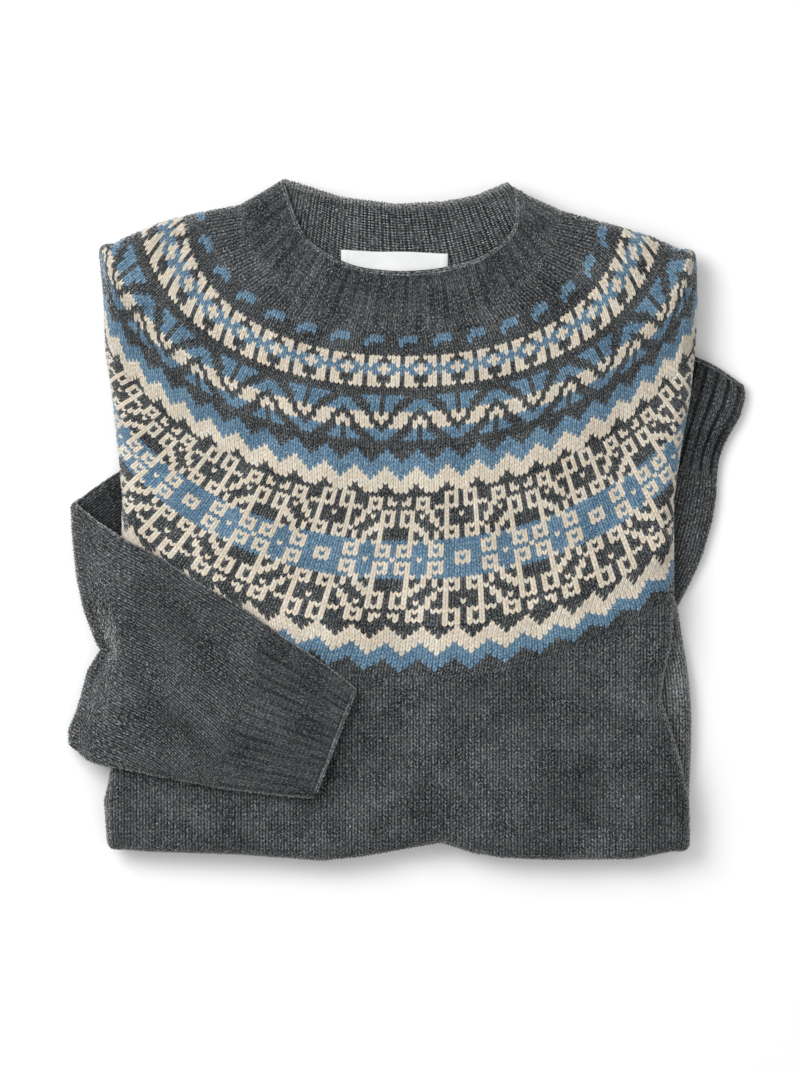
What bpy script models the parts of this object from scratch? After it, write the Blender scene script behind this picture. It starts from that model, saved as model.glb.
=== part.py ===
"""A fair isle jumper folded flat, its neck at +Y and its left sleeve laid over the front.

Sizes are in millimetres, in the plan of the folded garment, and +Z is up from the
surface that it rests on. The front is a wall that rolls over every fold of the pile.
"""

import bmesh
import bpy
import numpy as np

MM = 0.001
WALL = 2.6  # thickness of one layer of knitting
SEAM = 0.3  # space left between neighbouring pieces
SLANT_SEAM = 0.42  # the same where it is measured along Y and the seam slants
PILE_TOP = 28.0  # height of the front's outer face
ROLL = 12.0  # radius of the soft roll at each fold
RIB_RAISE = 1.0
RIB_PITCH = 8.6  # two knit wales and the furrow beside them
LABEL_THICK = 1.0
QUARTER = np.pi / 2

GREY_WOOL = (0.10, 0.11, 0.12)
PATTERNED_WOOL = (0.16, 0.25, 0.36)
LABEL_TAPE = (0.80, 0.80, 0.78)


def table(columns, rows):
    """The rows as one array for each named column."""
    return dict(zip(columns.split(), np.array(rows, float).T))


# The plan outline of the front, as the folds draw it.
SIDES = table(
    "y left right",
    (
        (-246, -226.0, 211.0),
        (-211, -228.5, 210.5),
        (-184, -222.5, 205.0),
        (-157, -221.0, 197.0),
        (-135, -220.0, 189.5),
        (-118, -219.5, 191.0),
        (-90, -218.0, 197.5),
        (-60, -215.5, 199.0),
        (-22, -215.5, 199.0),
        (15, -214.5, 199.0),
        (52, -218.0, 204.0),
        (90, -222.0, 211.0),
        (127, -227.5, 215.0),
        (165, -228.5, 216.5),
        (200, -232.0, 215.5),
    ),
)
TOP = table(
    "x y",
    (
        (-232, 198.0),
        (-216, 210.5),
        (-186, 223.5),
        (-156, 231.0),
        (-126, 236.5),
        (-110, 245.5),
        (-94, 255.2),
        (-74, 249.0),
        (-51, 241.5),
        (-10, 236.3),
        (24, 237.8),
        (50, 242.3),
        (74, 252.3),
        (90, 243.0),
        (115, 232.0),
        (157, 220.5),
        (184, 212.0),
        (204, 203.0),
        (215, 195.0),
    ),
)
BOTTOM = table(
    "x y",
    (
        (-226, -246.5),
        (-193, -249.0),
        (-124, -251.3),
        (-85, -254.3),
        (-65, -255.8),
        (-36, -252.8),
        (-6, -247.5),
        (24, -242.3),
        (48, -249.8),
        (70, -253.5),
        (106, -255.0),
        (142, -255.0),
        (170, -254.3),
        (197, -249.0),
        (211, -246.5),
    ),
)
# Soft troughs (negative) and swells of the front: a line, its height and its half width.
CREASES = table(
    "x0 y0 x1 y1 rise reach",
    (
        (20, -243, 45, -150, -2.2, 26),
        (192, -132, 95, -118, -2.4, 24),
        (170, -190, 70, -225, 1.2, 30),
        (-200, 60, -150, 110, -1.2, 26),
        (150, 40, 185, -30, -1.4, 22),
        (25, -160, 90, -120, 1.0, 34),
        (-190, 175, -120, 205, 0.9, 24),
    ),
)
CREASE_FADE = 0.6  # share of its height that a crease loses towards its far end
CREASES_FROM = dict(x=-200.0, over=40.0)  # none at the left fold, under the sleeve
# The curve where the patterned yoke ends on the front, half an ellipse.
YOKE_SEAM = dict(x=8.6, y=240.0, across=337.5, down=352.5)
# The curve where the neckband is knitted on, half an ellipse.
BAND_BASE = dict(x=-6.4, y=240.0, across=120.0, down=100.0)
# The front neckband's free edge, from its left shoulder to its right one.
NECK_EDGE = table(
    "x y",
    (
        (-94.0, 262.2),
        (-92.6, 252.4),
        (-87.4, 236.3),
        (-79.0, 213.8),
        (-67.9, 204.8),
        (-51.4, 194.3),
        (-36.4, 189.0),
        (-6.4, 186.0),
        (23.6, 188.3),
        (53.6, 196.5),
        (67.1, 206.3),
        (77.6, 213.8),
        (80.6, 228.8),
        (79.0, 243.0),
        (74.0, 259.0),
    ),
)
BACK_LOWER = WALL + 2 * SEAM + RIB_RAISE + LABEL_THICK  # the back of the neck lies lower
NECK_ENDS = dict(left=-94.0, right=74.0, over=16.0)  # where the neck meets the top fold


def read(rows, column, key, at):
    return np.interp(at, rows[key], rows[column])


def ease(t):
    t = np.clip(t, 0, 1)
    return t * t * (3 - 2 * t)


def rise(x, y):
    """Height of the front's creases above its plane, fading out towards the folds."""
    height = np.zeros_like(x)
    for x0, y0, x1, y1, depth, reach in zip(*CREASES.values()):
        along = ((x - x0) * (x1 - x0) + (y - y0) * (y1 - y0)) / (
            (x1 - x0) ** 2 + (y1 - y0) ** 2
        )
        near = np.clip(along, 0, 1)
        off = np.hypot(x - x0 - near * (x1 - x0), y - y0 - near * (y1 - y0))
        height += depth * (1 - CREASE_FADE * near) * ease(1 - off / reach)
    return height * ease((x - CREASES_FROM["x"]) / CREASES_FROM["over"])


def lay(x, y, lower=0.0, behind=0.0, slack=0.0):
    """The place in the pile of each point of the unrolled front.

    lower takes it down into the pile, behind moves the top fold back, and slack draws
    its rolls in further.
    """
    radius = ROLL - lower - slack
    flat_x = np.clip(
        x, read(SIDES, "left", "y", y) + ROLL, read(SIDES, "right", "y", y) - ROLL
    )
    flat_y = np.clip(
        y,
        read(BOTTOM, "y", "x", flat_x) + ROLL,
        read(TOP, "y", "x", flat_x) - ROLL + behind,
    )
    turn_x = np.clip((x - flat_x) / ROLL, -QUARTER, QUARTER)
    turn_y = np.clip((y - flat_y) / ROLL, -QUARTER, QUARTER)
    turn = np.maximum(np.abs(turn_x), np.abs(turn_y))  # a corner rolls like a ball
    length = np.maximum(np.hypot(turn_x, turn_y), 1e-9)
    fall = 1 - np.cos(turn)
    return np.stack(
        [
            flat_x + radius * np.sin(turn) * turn_x / length,
            flat_y + radius * np.sin(turn) * turn_y / length,
            PILE_TOP - lower + rise(flat_x, flat_y) * (1 - fall) - radius * fall,
        ],
        axis=-1,
    )


def stations(flat_cells, ends=(True, True), roll_cells=4):
    """(share of the flat span, share of the roll) of each line across the front."""
    roll = np.linspace(1, 0, roll_cells, endpoint=False)
    lines = [(0.0, -turn) for turn in roll] if ends[0] else []
    lines += [(share, 0.0) for share in np.linspace(0, 1, flat_cells + 1)]
    lines += [(1.0, turn) for turn in roll[::-1]] if ends[1] else []
    return np.array(lines)


def seam_y(curve, x):
    share = np.clip(np.abs(x - curve["x"]) / curve["across"], 0, 1)
    return curve["y"] - curve["down"] * np.sqrt(1 - share**2)


def front_grid(columns, rows, low_edge, high_edge):
    """Unrolled plan points of a panel: rows run down from high_edge(x) to low_edge(x)."""
    x = np.zeros((len(rows), len(columns)))
    y = np.zeros_like(x)
    for _ in range(6):
        left = read(SIDES, "left", "y", y) + ROLL
        right = read(SIDES, "right", "y", y) - ROLL
        flat_x = left + columns[None, :, 0] * (right - left)
        x = flat_x + columns[None, :, 1] * ROLL * QUARTER
        high = high_edge(flat_x)
        low = low_edge(flat_x)
        y = high + rows[:, None, 0] * (low - high) + rows[:, None, 1] * ROLL * QUARTER
    return x, y


def top_flat(x):
    return read(TOP, "y", "x", x) - ROLL


def bottom_flat(x):
    return read(BOTTOM, "y", "x", x) + ROLL


def neck_behind(x):
    """How far the back of the neck reaches past the front's outline, between its peaks."""
    from_left = ease((x - NECK_ENDS["left"]) / NECK_ENDS["over"])
    from_right = ease((NECK_ENDS["right"] - x) / NECK_ENDS["over"])
    return BACK_LOWER * from_left * from_right


def back_flat(x):
    return top_flat(x) + neck_behind(x)


def seam_above(x):
    return seam_y(YOKE_SEAM, x) + SLANT_SEAM / 2


def seam_below(x):
    return seam_y(YOKE_SEAM, x) - SLANT_SEAM / 2


def seam_middle(x):
    return seam_y(YOKE_SEAM, x)


# ---------------------------------------------------------------- Blender objects


def collection(name):
    made = bpy.data.collections.new(name)
    bpy.context.scene.collection.children.link(made)
    return made


def clear_scene():
    for item in list(bpy.data.objects):
        bpy.data.objects.remove(item, do_unlink=True)


def material(name, colour, roughness=0.95):
    made = bpy.data.materials.new(name)
    made.use_nodes = True
    shader = made.node_tree.nodes["Principled BSDF"]
    shader.inputs["Base Color"].default_value = (*colour, 1.0)
    shader.inputs["Roughness"].default_value = roughness
    return made


def surface(points, around=False):
    """A mesh of quads through a grid of points, joined round the columns if it is a tube."""
    rows, columns = points.shape[:2]
    mesh = bmesh.new()
    grid = [[mesh.verts.new(place * MM) for place in row] for row in points]
    for upper, lower in zip(grid, grid[1:]):
        for left in range(columns if around else columns - 1):
            right = (left + 1) % columns
            mesh.faces.new((upper[left], lower[left], lower[right], upper[right]))
    return mesh


def face_away(mesh, middle=None):
    """Turns an open surface to face up, or a tube to face away from its rings' middles."""
    mesh.normal_update()
    total = 0.0
    for face in mesh.faces:
        if middle is None:
            total += face.normal.z * face.calc_area()
        else:
            centre = face.calc_center_median()
            nearest = np.argmin(np.linalg.norm(middle * MM - np.array(centre), axis=1))
            off = np.array(centre) - middle[nearest] * MM
            total += float(np.dot(face.normal, off))
    if total < 0:
        bmesh.ops.reverse_faces(mesh, faces=mesh.faces[:])


def put(name, mesh, colour, where):
    """Links the mesh as a smooth object with its own material."""
    data = bpy.data.meshes.new(name)
    for face in mesh.faces:
        face.smooth = True
    mesh.to_mesh(data)
    mesh.free()
    made = bpy.data.objects.new(name, data)
    data.materials.append(material(name + "_wool", colour))
    where.objects.link(made)
    return made


def thicken(piece, thickness=WALL):
    """Gives an open surface its wall, on the inner side."""
    wall = piece.modifiers.new("wall", "SOLIDIFY")
    wall.thickness = thickness * MM
    wall.offset = -1
    wall.use_even_offset = True
    return piece


def cut(piece, cutter):
    hole = piece.modifiers.new("cut_" + cutter.name, "BOOLEAN")
    hole.operation = "DIFFERENCE"
    hole.solver = "EXACT"
    hole.object = cutter


def make_cutter(name, mesh, where):
    bmesh.ops.recalc_face_normals(mesh, faces=mesh.faces[:])
    data = bpy.data.meshes.new(name)
    mesh.to_mesh(data)
    mesh.free()
    made = bpy.data.objects.new(name, data)
    made.hide_render = True
    made.display_type = "WIRE"
    where.objects.link(made)
    return made


def ribbed_wall(mesh, height, thickness=WALL):
    """Gives an open surface a plain wall, its outer points raised by height."""
    mesh.normal_update()
    outward = [vert.normal.copy() for vert in mesh.verts]
    outer = list(mesh.verts)
    inner = {
        vert: mesh.verts.new(vert.co - normal * thickness * MM)
        for vert, normal in zip(outer, outward)
    }
    rims = [edge for edge in mesh.edges if edge.is_boundary]
    for face in list(mesh.faces):
        mesh.faces.new([inner[vert] for vert in reversed(face.verts)])
    for edge in rims:
        loop = edge.link_loops[0]
        start, end = loop.vert, loop.link_loop_next.vert
        mesh.faces.new((end, start, inner[start], inner[end]))
    for vert, normal, raised in zip(outer, outward, np.ravel(height)):
        vert.co += normal * raised * MM
    return mesh


def ribs(count):
    """Raised share at each of four points a rib, from its crest to its furrow and back."""
    return 0.5 + 0.5 * np.cos(QUARTER * np.arange(4 * count + 1))


# ---------------------------------------------------------------- the front


COLUMNS = stations(20)
CUT_HEIGHTS = (5.0, 45.0)  # the neck's cutter runs from below the front to above it
YOKE_ROWS = stations(13, ends=(False, False))
BODY_ROWS = stations(8, ends=(False, False))


def with_roll(rows, first, last):
    """Adds the roll over the top fold before the rows, or over the bottom fold after them."""
    turns = np.linspace(1, 0, 4, endpoint=False)
    before = [(0.0, turn) for turn in turns] if first else []
    after = [(1.0, -turn) for turn in turns[::-1]] if last else []
    return np.array(before + [tuple(row) for row in rows] + after)


def yoke_front(where, cutters):
    """The patterned yoke's front half, cut out round the neckband's base."""
    x, y = front_grid(
        COLUMNS, with_roll(YOKE_ROWS, True, False), seam_above, top_flat
    )
    mesh = surface(lay(x, y))
    face_away(mesh)
    piece = thicken(put("yoke_front", mesh, PATTERNED_WOOL, where))
    turns = np.linspace(0, 2 * np.pi, 72, endpoint=False)
    reach = 1 + SEAM / BAND_BASE["down"]
    ring = np.stack(
        [
            BAND_BASE["x"] + BAND_BASE["across"] * reach * np.cos(turns),
            BAND_BASE["y"] + BAND_BASE["down"] * reach * np.sin(turns),
        ],
        axis=-1,
    )
    walls = np.stack(
        [np.column_stack([ring, np.full(len(ring), z)]) for z in CUT_HEIGHTS]
    )
    mesh = surface(walls, around=True)
    for side in (mesh.verts[: len(ring)], mesh.verts[len(ring) :]):
        mesh.faces.new(side)
    cut(piece, make_cutter("neck_cutter", mesh, cutters))
    return piece


def body_front(where):
    """The plain front below the yoke."""
    x, y = front_grid(
        COLUMNS, with_roll(BODY_ROWS, False, True), bottom_flat, seam_below
    )
    mesh = surface(lay(x, y))
    face_away(mesh)
    return thicken(put("body_front", mesh, GREY_WOOL, where))


# ---------------------------------------------------------------- the hidden layers

# Edges of the layers below the roll: height, and distance in from the outline.
EDGE_LAYERS = table(
    "z inset",
    (
        (14.0, 3.8),
        (12.6, 1.4),
        (9.6, 1.0),
        (7.7, 3.4),
        (6.2, 1.0),
        (2.2, 0.7),
        (0.0, 3.0),
    ),
)
FOLD_SLACK = 0.8  # the hidden rolls turn a little tighter than the front's wall
NECK_SLACK = 0.6  # and tighter again behind the neck
HIDDEN_BEHIND = 0.7  # share of the neck's reach behind that its layers follow
NECK_DIP = dict(x=-6.4, y=240.0, across=124.0, down=104.0, ramp=0.3)
ROOM_FLOOR = -2.0
# Boxes cut out of the hidden layers to make room for the folded pieces beside them.
ROOMS = table(
    "x0 x1 y0 y1 top",
    (
        (-260, -202, -172, 50, 7.8),
        (172, 260, -63, 141, 7.7),
        (176, 260, -233, -60, 13.6),
    ),
)


def neck_dip(x, y):
    """1 under the neckband, where the layers lie lower, easing to 0 outside it."""
    off = np.hypot(
        (x - NECK_DIP["x"]) / NECK_DIP["across"], (y - NECK_DIP["y"]) / NECK_DIP["down"]
    )
    return ease(1 - (off - 1) / NECK_DIP["ramp"])


def folded_layers(where, cutters):
    """All that the front hides, one rounded solid with the layers' edges on its sides."""
    upper_rows = with_roll(YOKE_ROWS, True, False)
    lower_rows = with_roll(BODY_ROWS, False, True)
    x_up, y_up = front_grid(COLUMNS, upper_rows, seam_middle, back_flat)
    x_low, y_low = front_grid(COLUMNS, lower_rows, bottom_flat, seam_middle)
    x = np.vstack([x_up, x_low[1:]])
    y = np.vstack([y_up, y_low[1:]])
    dip = neck_dip(x, y)
    lower = WALL + SEAM + BACK_LOWER * dip
    slack = FOLD_SLACK + NECK_SLACK * dip
    points = lay(x, y, lower, HIDDEN_BEHIND * neck_behind(x), slack)
    rows, columns = points.shape[:2]
    mesh = surface(points)
    mesh.verts.ensure_lookup_table()
    down = [row * columns for row in range(rows)]
    across = [(rows - 1) * columns + column for column in range(1, columns)]
    up = [row * columns + columns - 1 for row in range(rows - 2, -1, -1)]
    back = [column for column in range(columns - 2, 0, -1)]
    border = down + across + up + back
    last = [mesh.verts[index] for index in border]
    for z, inset in zip(*EDGE_LAYERS.values()):
        ring = lay(x, y, inset).reshape(-1, 3)[border][:, :2]
        new = [mesh.verts.new((px * MM, py * MM, z * MM)) for px, py in ring]
        for index in range(len(new)):
            after = (index + 1) % len(new)
            mesh.faces.new((last[index], new[index], new[after], last[after]))
        last = new
    mesh.faces.new(last)
    bmesh.ops.recalc_face_normals(mesh, faces=mesh.faces[:])
    piece = put("folded_layers", mesh, GREY_WOOL, where)
    for number, (x0, x1, y0, y1, top) in enumerate(zip(*ROOMS.values())):
        room = bmesh.new()
        bmesh.ops.create_cube(room, size=1.0)
        for vert in room.verts:
            vert.co.x = (x0 if vert.co.x < 0 else x1) * MM
            vert.co.y = (y0 if vert.co.y < 0 else y1) * MM
            vert.co.z = (ROOM_FLOOR if vert.co.z < 0 else top) * MM
        cut(piece, make_cutter(f"room_{number}", room, cutters))
    return piece


# ---------------------------------------------------------------- the neck


def along_path(x, y, shares):
    """Points at shares of the length of the path through x and y."""
    lengths = np.concatenate([[0], np.cumsum(np.hypot(np.diff(x), np.diff(y)))])
    at = shares * lengths[-1]
    return np.stack([np.interp(at, lengths, x), np.interp(at, lengths, y)], axis=-1)


def neck_edge(count=120, rounds=30):
    """The free edge's table as a rounder path."""
    path = along_path(NECK_EDGE["x"], NECK_EDGE["y"], np.linspace(0, 1, count))
    for _ in range(rounds):
        path[1:-1] += 0.25 * (path[:-2] + path[2:] - 2 * path[1:-1])
    return path


# Degrees round the base: where the band's ends are, and where it meets the shoulders.
BASE_ENDS = (-1.9, 180.4)
BASE_SHOULDERS = (2.6, 176.0)


def base_path():
    """The band's base round the front, running straight where it rolls at a shoulder."""
    reach = 1 - SEAM / 2 / BAND_BASE["down"]
    turns = np.radians(np.linspace(*BASE_ENDS, 120))
    bends = np.clip(turns, *np.radians(BASE_SHOULDERS))
    x = BAND_BASE["x"] - BAND_BASE["across"] * reach * np.cos(bends)
    y = BAND_BASE["y"] - BAND_BASE["down"] * reach * np.sin(turns)
    return x, y


FADING = 0.5  # share of a rib's height at the last row of its roll


def rib_lines(path):
    """How many ribs fit the path, and the share of its length at each rib's points."""
    length = np.hypot(*np.diff(path, axis=0).T).sum()
    count = int(round(length / RIB_PITCH))
    return count, np.linspace(0, 1, 4 * count + 1)


def neckband_front(where, rise_across=(0.55, 1.0, 0.9, 0.35)):
    """The ribbed band's front half, from its free edge to the yoke."""
    edge = neck_edge()
    count, shares = rib_lines(edge)
    inner = along_path(edge[:, 0], edge[:, 1], shares)
    outer = along_path(*base_path(), shares)
    weights = np.linspace(0, 1, len(rise_across))[:, None, None]
    plan = inner[None] * (1 - weights) + outer[None] * weights
    height = RIB_RAISE * np.array(rise_across)[:, None] * ribs(count)[None, :]
    mesh = surface(lay(plan[..., 0], plan[..., 1]))
    face_away(mesh)
    ribbed_wall(mesh, height)
    return put("neckband_front", mesh, GREY_WOOL, where)


# The back band's ends, and how far it reaches under the front one's free edge.
BACK_BAND = dict(x0=-88.5, x1=69.0, below=238.0, under_front=1.12)


def neckband_back(where, turns=(0.9, 0.6, 0.3, 0.0)):
    """The band's back half, its inner face up, lying lower and running under the front."""
    top_x = np.linspace(BACK_BAND["x0"], BACK_BAND["x1"], 80)
    top_edge = np.stack([top_x, back_flat(top_x)], axis=-1)
    count, shares = rib_lines(top_edge)
    top = along_path(*top_edge.T, shares)
    edge = neck_edge()
    middle = np.array([BAND_BASE["x"], BAND_BASE["y"]])
    low_edge = edge[edge[:, 1] < BACK_BAND["below"]] - middle
    low = middle + along_path(*low_edge.T, shares) * BACK_BAND["under_front"]
    rolled = [top + np.array([0.0, ROLL * QUARTER * turn]) for turn in turns]
    plan = np.array(rolled + [(top + low) / 2, low])
    height = RIB_RAISE * np.ones((len(plan), 1)) * ribs(count)[None, :]
    height[0] *= FADING
    behind = neck_behind(plan[..., 0])
    mesh = surface(lay(plan[..., 0], plan[..., 1], BACK_LOWER, behind))
    face_away(mesh)
    ribbed_wall(mesh, height)
    return put("neckband_back", mesh, GREY_WOOL, where)


LABEL = dict(x0=-50.6, x1=29.6, y0=183.5, y1=202.5)


def neck_label(where, cells=(8, 3)):
    """A plain woven label, seated on the back band's ribs."""
    x, y = np.meshgrid(
        np.linspace(LABEL["x0"], LABEL["x1"], cells[0] + 1),
        np.linspace(LABEL["y0"], LABEL["y1"], cells[1] + 1),
    )
    over_ribs = BACK_LOWER - RIB_RAISE - SEAM - LABEL_THICK
    mesh = surface(lay(x, y, over_ribs))
    face_away(mesh)
    return thicken(put("neck_label", mesh, LABEL_TAPE, where), LABEL_THICK)


# ---------------------------------------------------------------- sleeves

TUBE = 7.4  # thickness of a flattened sleeve
EDGE_ANGLES = np.radians((15, 45, 90))  # of the points round each long edge


def across_stations(flat_shares):
    """(distance in, share of the width, share of the half thickness) across a sleeve."""
    off = TUBE / 2 * (1 - np.cos(EDGE_ANGLES))
    half = np.sin(EDGE_ANGLES)
    first = list(zip(off, np.zeros(3), half))
    middle = [(0.0, share, 1.0) for share in flat_shares]
    last = list(zip(-off, np.ones(3), half))[::-1]
    return np.array(first + middle + last)


def tube_rings(upper, lower, lift, profile, thickness=TUBE):
    """Rings round a flattened tube: middle points from upper to lower edge, then lifted."""
    span = lower - upper
    width = np.linalg.norm(span, axis=1)[:, None]
    share = profile[None, :, 1] + profile[None, :, 0] / width
    middle = upper[:, None] + share[..., None] * span[:, None]
    middle = lift(middle)
    step_k = np.gradient(middle, axis=0)
    step_t = np.gradient(middle, axis=1)
    normal = np.cross(step_t, step_k)
    normal /= np.linalg.norm(normal, axis=-1)[..., None]
    return middle, normal * (profile[None, :, 2] * thickness / 2)[..., None]


# Lines across the left sleeve from its under part, round its fold, to the cuff.
# Each row: plan of its upper and lower edge points, and the turn round the fold.
SLEEVE_LEFT = table(
    "x0 y0 x1 y1 turn",
    (
        (-204, 43, -206, -166, 0),
        (-218, 36.5, -222, -164, 0),
        (-232, 26, -236, -162, 0),
        (-243.2, 17, -245.5, -161, 0),
        (-243.2, 15, -245.5, -161, 40),
        (-243.2, 13, -245.5, -161.5, 90),
        (-243.2, 11, -245.5, -162.5, 140),
        (-243.2, 9, -245.5, -164.5, 180),
        (-236, 2, -239, -173.5, 180),
        (-228, -4, -231, -179, 180),
        (-220, -9.5, -222, -183.8, 180),
        (-212, -14.5, -211, -187, 180),
        (-200, -20.5, -198, -189.5, 180),
        (-185, -27.8, -184, -192.8, 180),
        (-163, -43.5, -170, -195.5, 180),
        (-143, -54.5, -160, -197, 180),
        (-120, -67.5, -150, -199, 180),
        (-97.7, -85, -139.9, -201, 180),
    ),
)
CUFF_LEFT = table(
    "x0 y0 x1 y1 turn",
    (
        (-97.1, -85.3, -139.3, -201.3, 180),
        (-78, -97.5, -116, -203.8, 180),
        (-56, -112.5, -92, -206.8, 180),
        (-38.2, -127.2, -69.6, -208.4, 180),
    ),
)
# The left fold pinches in at a crease: how far, and how deep the crease runs.
PINCH = dict(y=-98.0, depth=8.0, reach=62.0, trough=1.2, width=26.0)
FOLD_GAP = 2.0  # inside the sleeve's fold
FOLD_RADIUS = (TUBE + FOLD_GAP) / 2
UNEVEN = 0.12  # the sleeve is nowhere quite flat
SLEEVE_RAMP = dict(before=29.0, length=33.0)
FOLD_NEAR = dict(x=-208.0, over=38.0)  # the pinch eases out within this distance
UNEVEN_SPAN = dict(x=11.0, y=17.0)


def sleeve_height(x, y):
    """Middle height of the sleeve's upper part: from its fold up over the side."""
    low = 3 * TUBE / 2 + FOLD_GAP
    high = PILE_TOP + SEAM + TUBE / 2
    start = read(SIDES, "left", "y", y) - SLEEVE_RAMP["before"]
    return low + (high - low) * ease((x - start) / SLEEVE_RAMP["length"])


def sleeve_lift(rows):
    turns = np.radians(rows["turn"])

    def lift(middle):
        x = middle[..., 0]
        y = middle[..., 1]
        turn = np.broadcast_to(turns[:, None], x.shape)
        away = np.abs(y - PINCH["y"])
        at_fold = ease((FOLD_NEAR["x"] - x) / FOLD_NEAR["over"])
        pinched = PINCH["depth"] * ease(1 - away / PINCH["reach"]) * at_fold
        sunk = PINCH["trough"] * ease(1 - away / PINCH["width"]) * at_fold
        bent = FOLD_RADIUS * (1 - np.cos(turn)) + TUBE / 2
        z = np.where(turn < np.pi - 1e-6, bent, sleeve_height(x, y))
        z = z + UNEVEN * (
            1 + np.sin(x / UNEVEN_SPAN["x"]) * np.sin(y / UNEVEN_SPAN["y"])
        )
        z = z - sunk * (turn / np.pi)
        return np.stack([x + pinched - FOLD_RADIUS * np.sin(turn), y, z], axis=-1)

    return lift


def edge_points(rows, x, y):
    return np.stack([rows[x], rows[y], np.zeros(len(rows[x]))], axis=-1)


def sleeve_tube(rows, profile):
    """The outer surface of a flattened tube through the table's lines."""
    middle, half = tube_rings(
        edge_points(rows, "x0", "y0"),
        edge_points(rows, "x1", "y1"),
        sleeve_lift(rows),
        profile,
    )
    rings = np.concatenate([middle + half, (middle - half)[:, ::-1]], axis=1)
    mesh = surface(rings, around=True)
    face_away(mesh, middle.reshape(-1, 3))
    return mesh


# Shares of the width between the sleeve's edges, closer where its pinch is.
LEFT_SHARES = (0.12, 0.24, 0.36, 0.46, 0.55, 0.63, 0.71, 0.8, 0.9)


def sleeve_left(where):
    """The sleeve from under the pile, round its fold and onto the front."""
    profile = across_stations(LEFT_SHARES)
    mesh = sleeve_tube(SLEEVE_LEFT, profile)
    return thicken(put("sleeve_left", mesh, GREY_WOOL, where))


CUFF_RIBS = dict(count=9, first=0.09, last=0.91, raised=0.8)


def cuff_left(where):
    """The cuff's tube, ribbed on the side that shows."""
    raised = CUFF_RIBS["raised"] * RIB_RAISE * ribs(CUFF_RIBS["count"])
    profile = across_stations(
        np.linspace(CUFF_RIBS["first"], CUFF_RIBS["last"], len(raised))
    )
    mesh = sleeve_tube(CUFF_LEFT, profile)
    edge = np.zeros(len(EDGE_ANGLES))
    one_ring = np.concatenate([edge, raised, edge, np.zeros(len(profile))])
    ribbed_wall(mesh, np.tile(one_ring, len(CUFF_LEFT["x0"])))
    return put("cuff_left", mesh, GREY_WOOL, where)


# The right sleeve shows beside the pile: its outer edge, and where it ends inside.
SLEEVE_RIGHT = table(
    "x y inner",
    (
        (231.5, 34.0, 174.0),
        (232.0, 20.0, 174.0),
        (229.0, 0.0, 174.0),
        (221.0, -28.0, 174.0),
        (211.5, -48.0, 174.0),
        (205.0, -59.5, 174.0),
    ),
)
CUFF_RIGHT = table(
    "x y inner inner_y",
    (
        (251.5, 101.5, 174.0, 135.0),
        (253.0, 90.0, 174.0, 123.0),
        (251.0, 76.0, 174.0, 104.0),
        (237.0, 53.0, 174.0, 68.0),
        (231.4, 34.4, 174.0, 34.4),
    ),
)
SIDE_FOLD_THICK = 13.2
SIDE_FOLD = table(
    "x y inner",
    (
        (202.0, -61.0, 178.5),
        (205.5, -90.0, 178.5),
        (210.0, -116.0, 178.5),
        (212.0, -140.0, 178.5),
        (212.0, -170.0, 178.5),
        (210.5, -200.0, 178.5),
        (209.5, -231.0, 178.5),
    ),
)


def side_wall(name, rows, thickness, where, turns=7, flat_cells=3, rib_raise=0.0):
    """A fold that opens into the pile: a wall up over a rounded outer edge and under it."""
    radius = thickness / 2
    angles = np.linspace(QUARTER, -QUARTER, turns)
    outer = np.stack([rows["x"], rows["y"]], axis=-1)
    inner = np.stack([rows["inner"], rows.get("inner_y", rows["y"])], axis=-1)
    inward = inner - outer
    inward /= np.linalg.norm(inward, axis=1)[:, None]
    centre = outer + inward * radius
    cells = np.linspace(0, 1, flat_cells, endpoint=False)
    columns = []
    for share in cells:
        plan = inner * (1 - share) + centre * share
        columns.append(np.column_stack([plan, np.full(len(plan), thickness)]))
    for angle in angles:
        plan = centre - inward * radius * np.cos(angle)
        columns.append(
            np.column_stack([plan, np.full(len(plan), radius * (1 + np.sin(angle)))])
        )
    for share in cells[::-1]:
        plan = inner * (1 - share) + centre * share
        columns.append(np.column_stack([plan, np.zeros(len(plan))]))
    points = np.stack(columns, axis=1)
    mesh = surface(points)
    middle = (points + points[:, ::-1]) / 2
    face_away(mesh, middle.reshape(-1, 3))
    if rib_raise:
        height = np.zeros(points.shape[:2])
        top = flat_cells + turns // 2
        wave = 0.5 + 0.5 * np.cos(QUARTER * np.arange(top))
        height[:, 1:top] = rib_raise * wave[1:]
        ribbed_wall(mesh, height)
        return put(name, mesh, GREY_WOOL, where)
    return thicken(put(name, mesh, GREY_WOOL, where))


def main():
    clear_scene()
    garment = collection("fair_isle_jumper")
    cutters = collection("cutters")
    cutters.hide_render = True
    yoke_front(garment, cutters)
    body_front(garment)
    folded_layers(garment, cutters)
    neckband_front(garment)
    neckband_back(garment)
    neck_label(garment)
    sleeve_left(garment)
    cuff_left(garment)
    side_wall("side_fold_right", SIDE_FOLD, SIDE_FOLD_THICK, garment)
    side_wall("sleeve_right", SLEEVE_RIGHT, TUBE, garment)
    cuff_base = TUBE - RIB_RAISE
    side_wall(
        "cuff_right", CUFF_RIGHT, cuff_base, garment, flat_cells=24, rib_raise=RIB_RAISE
    )


main()
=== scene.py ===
import math

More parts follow.
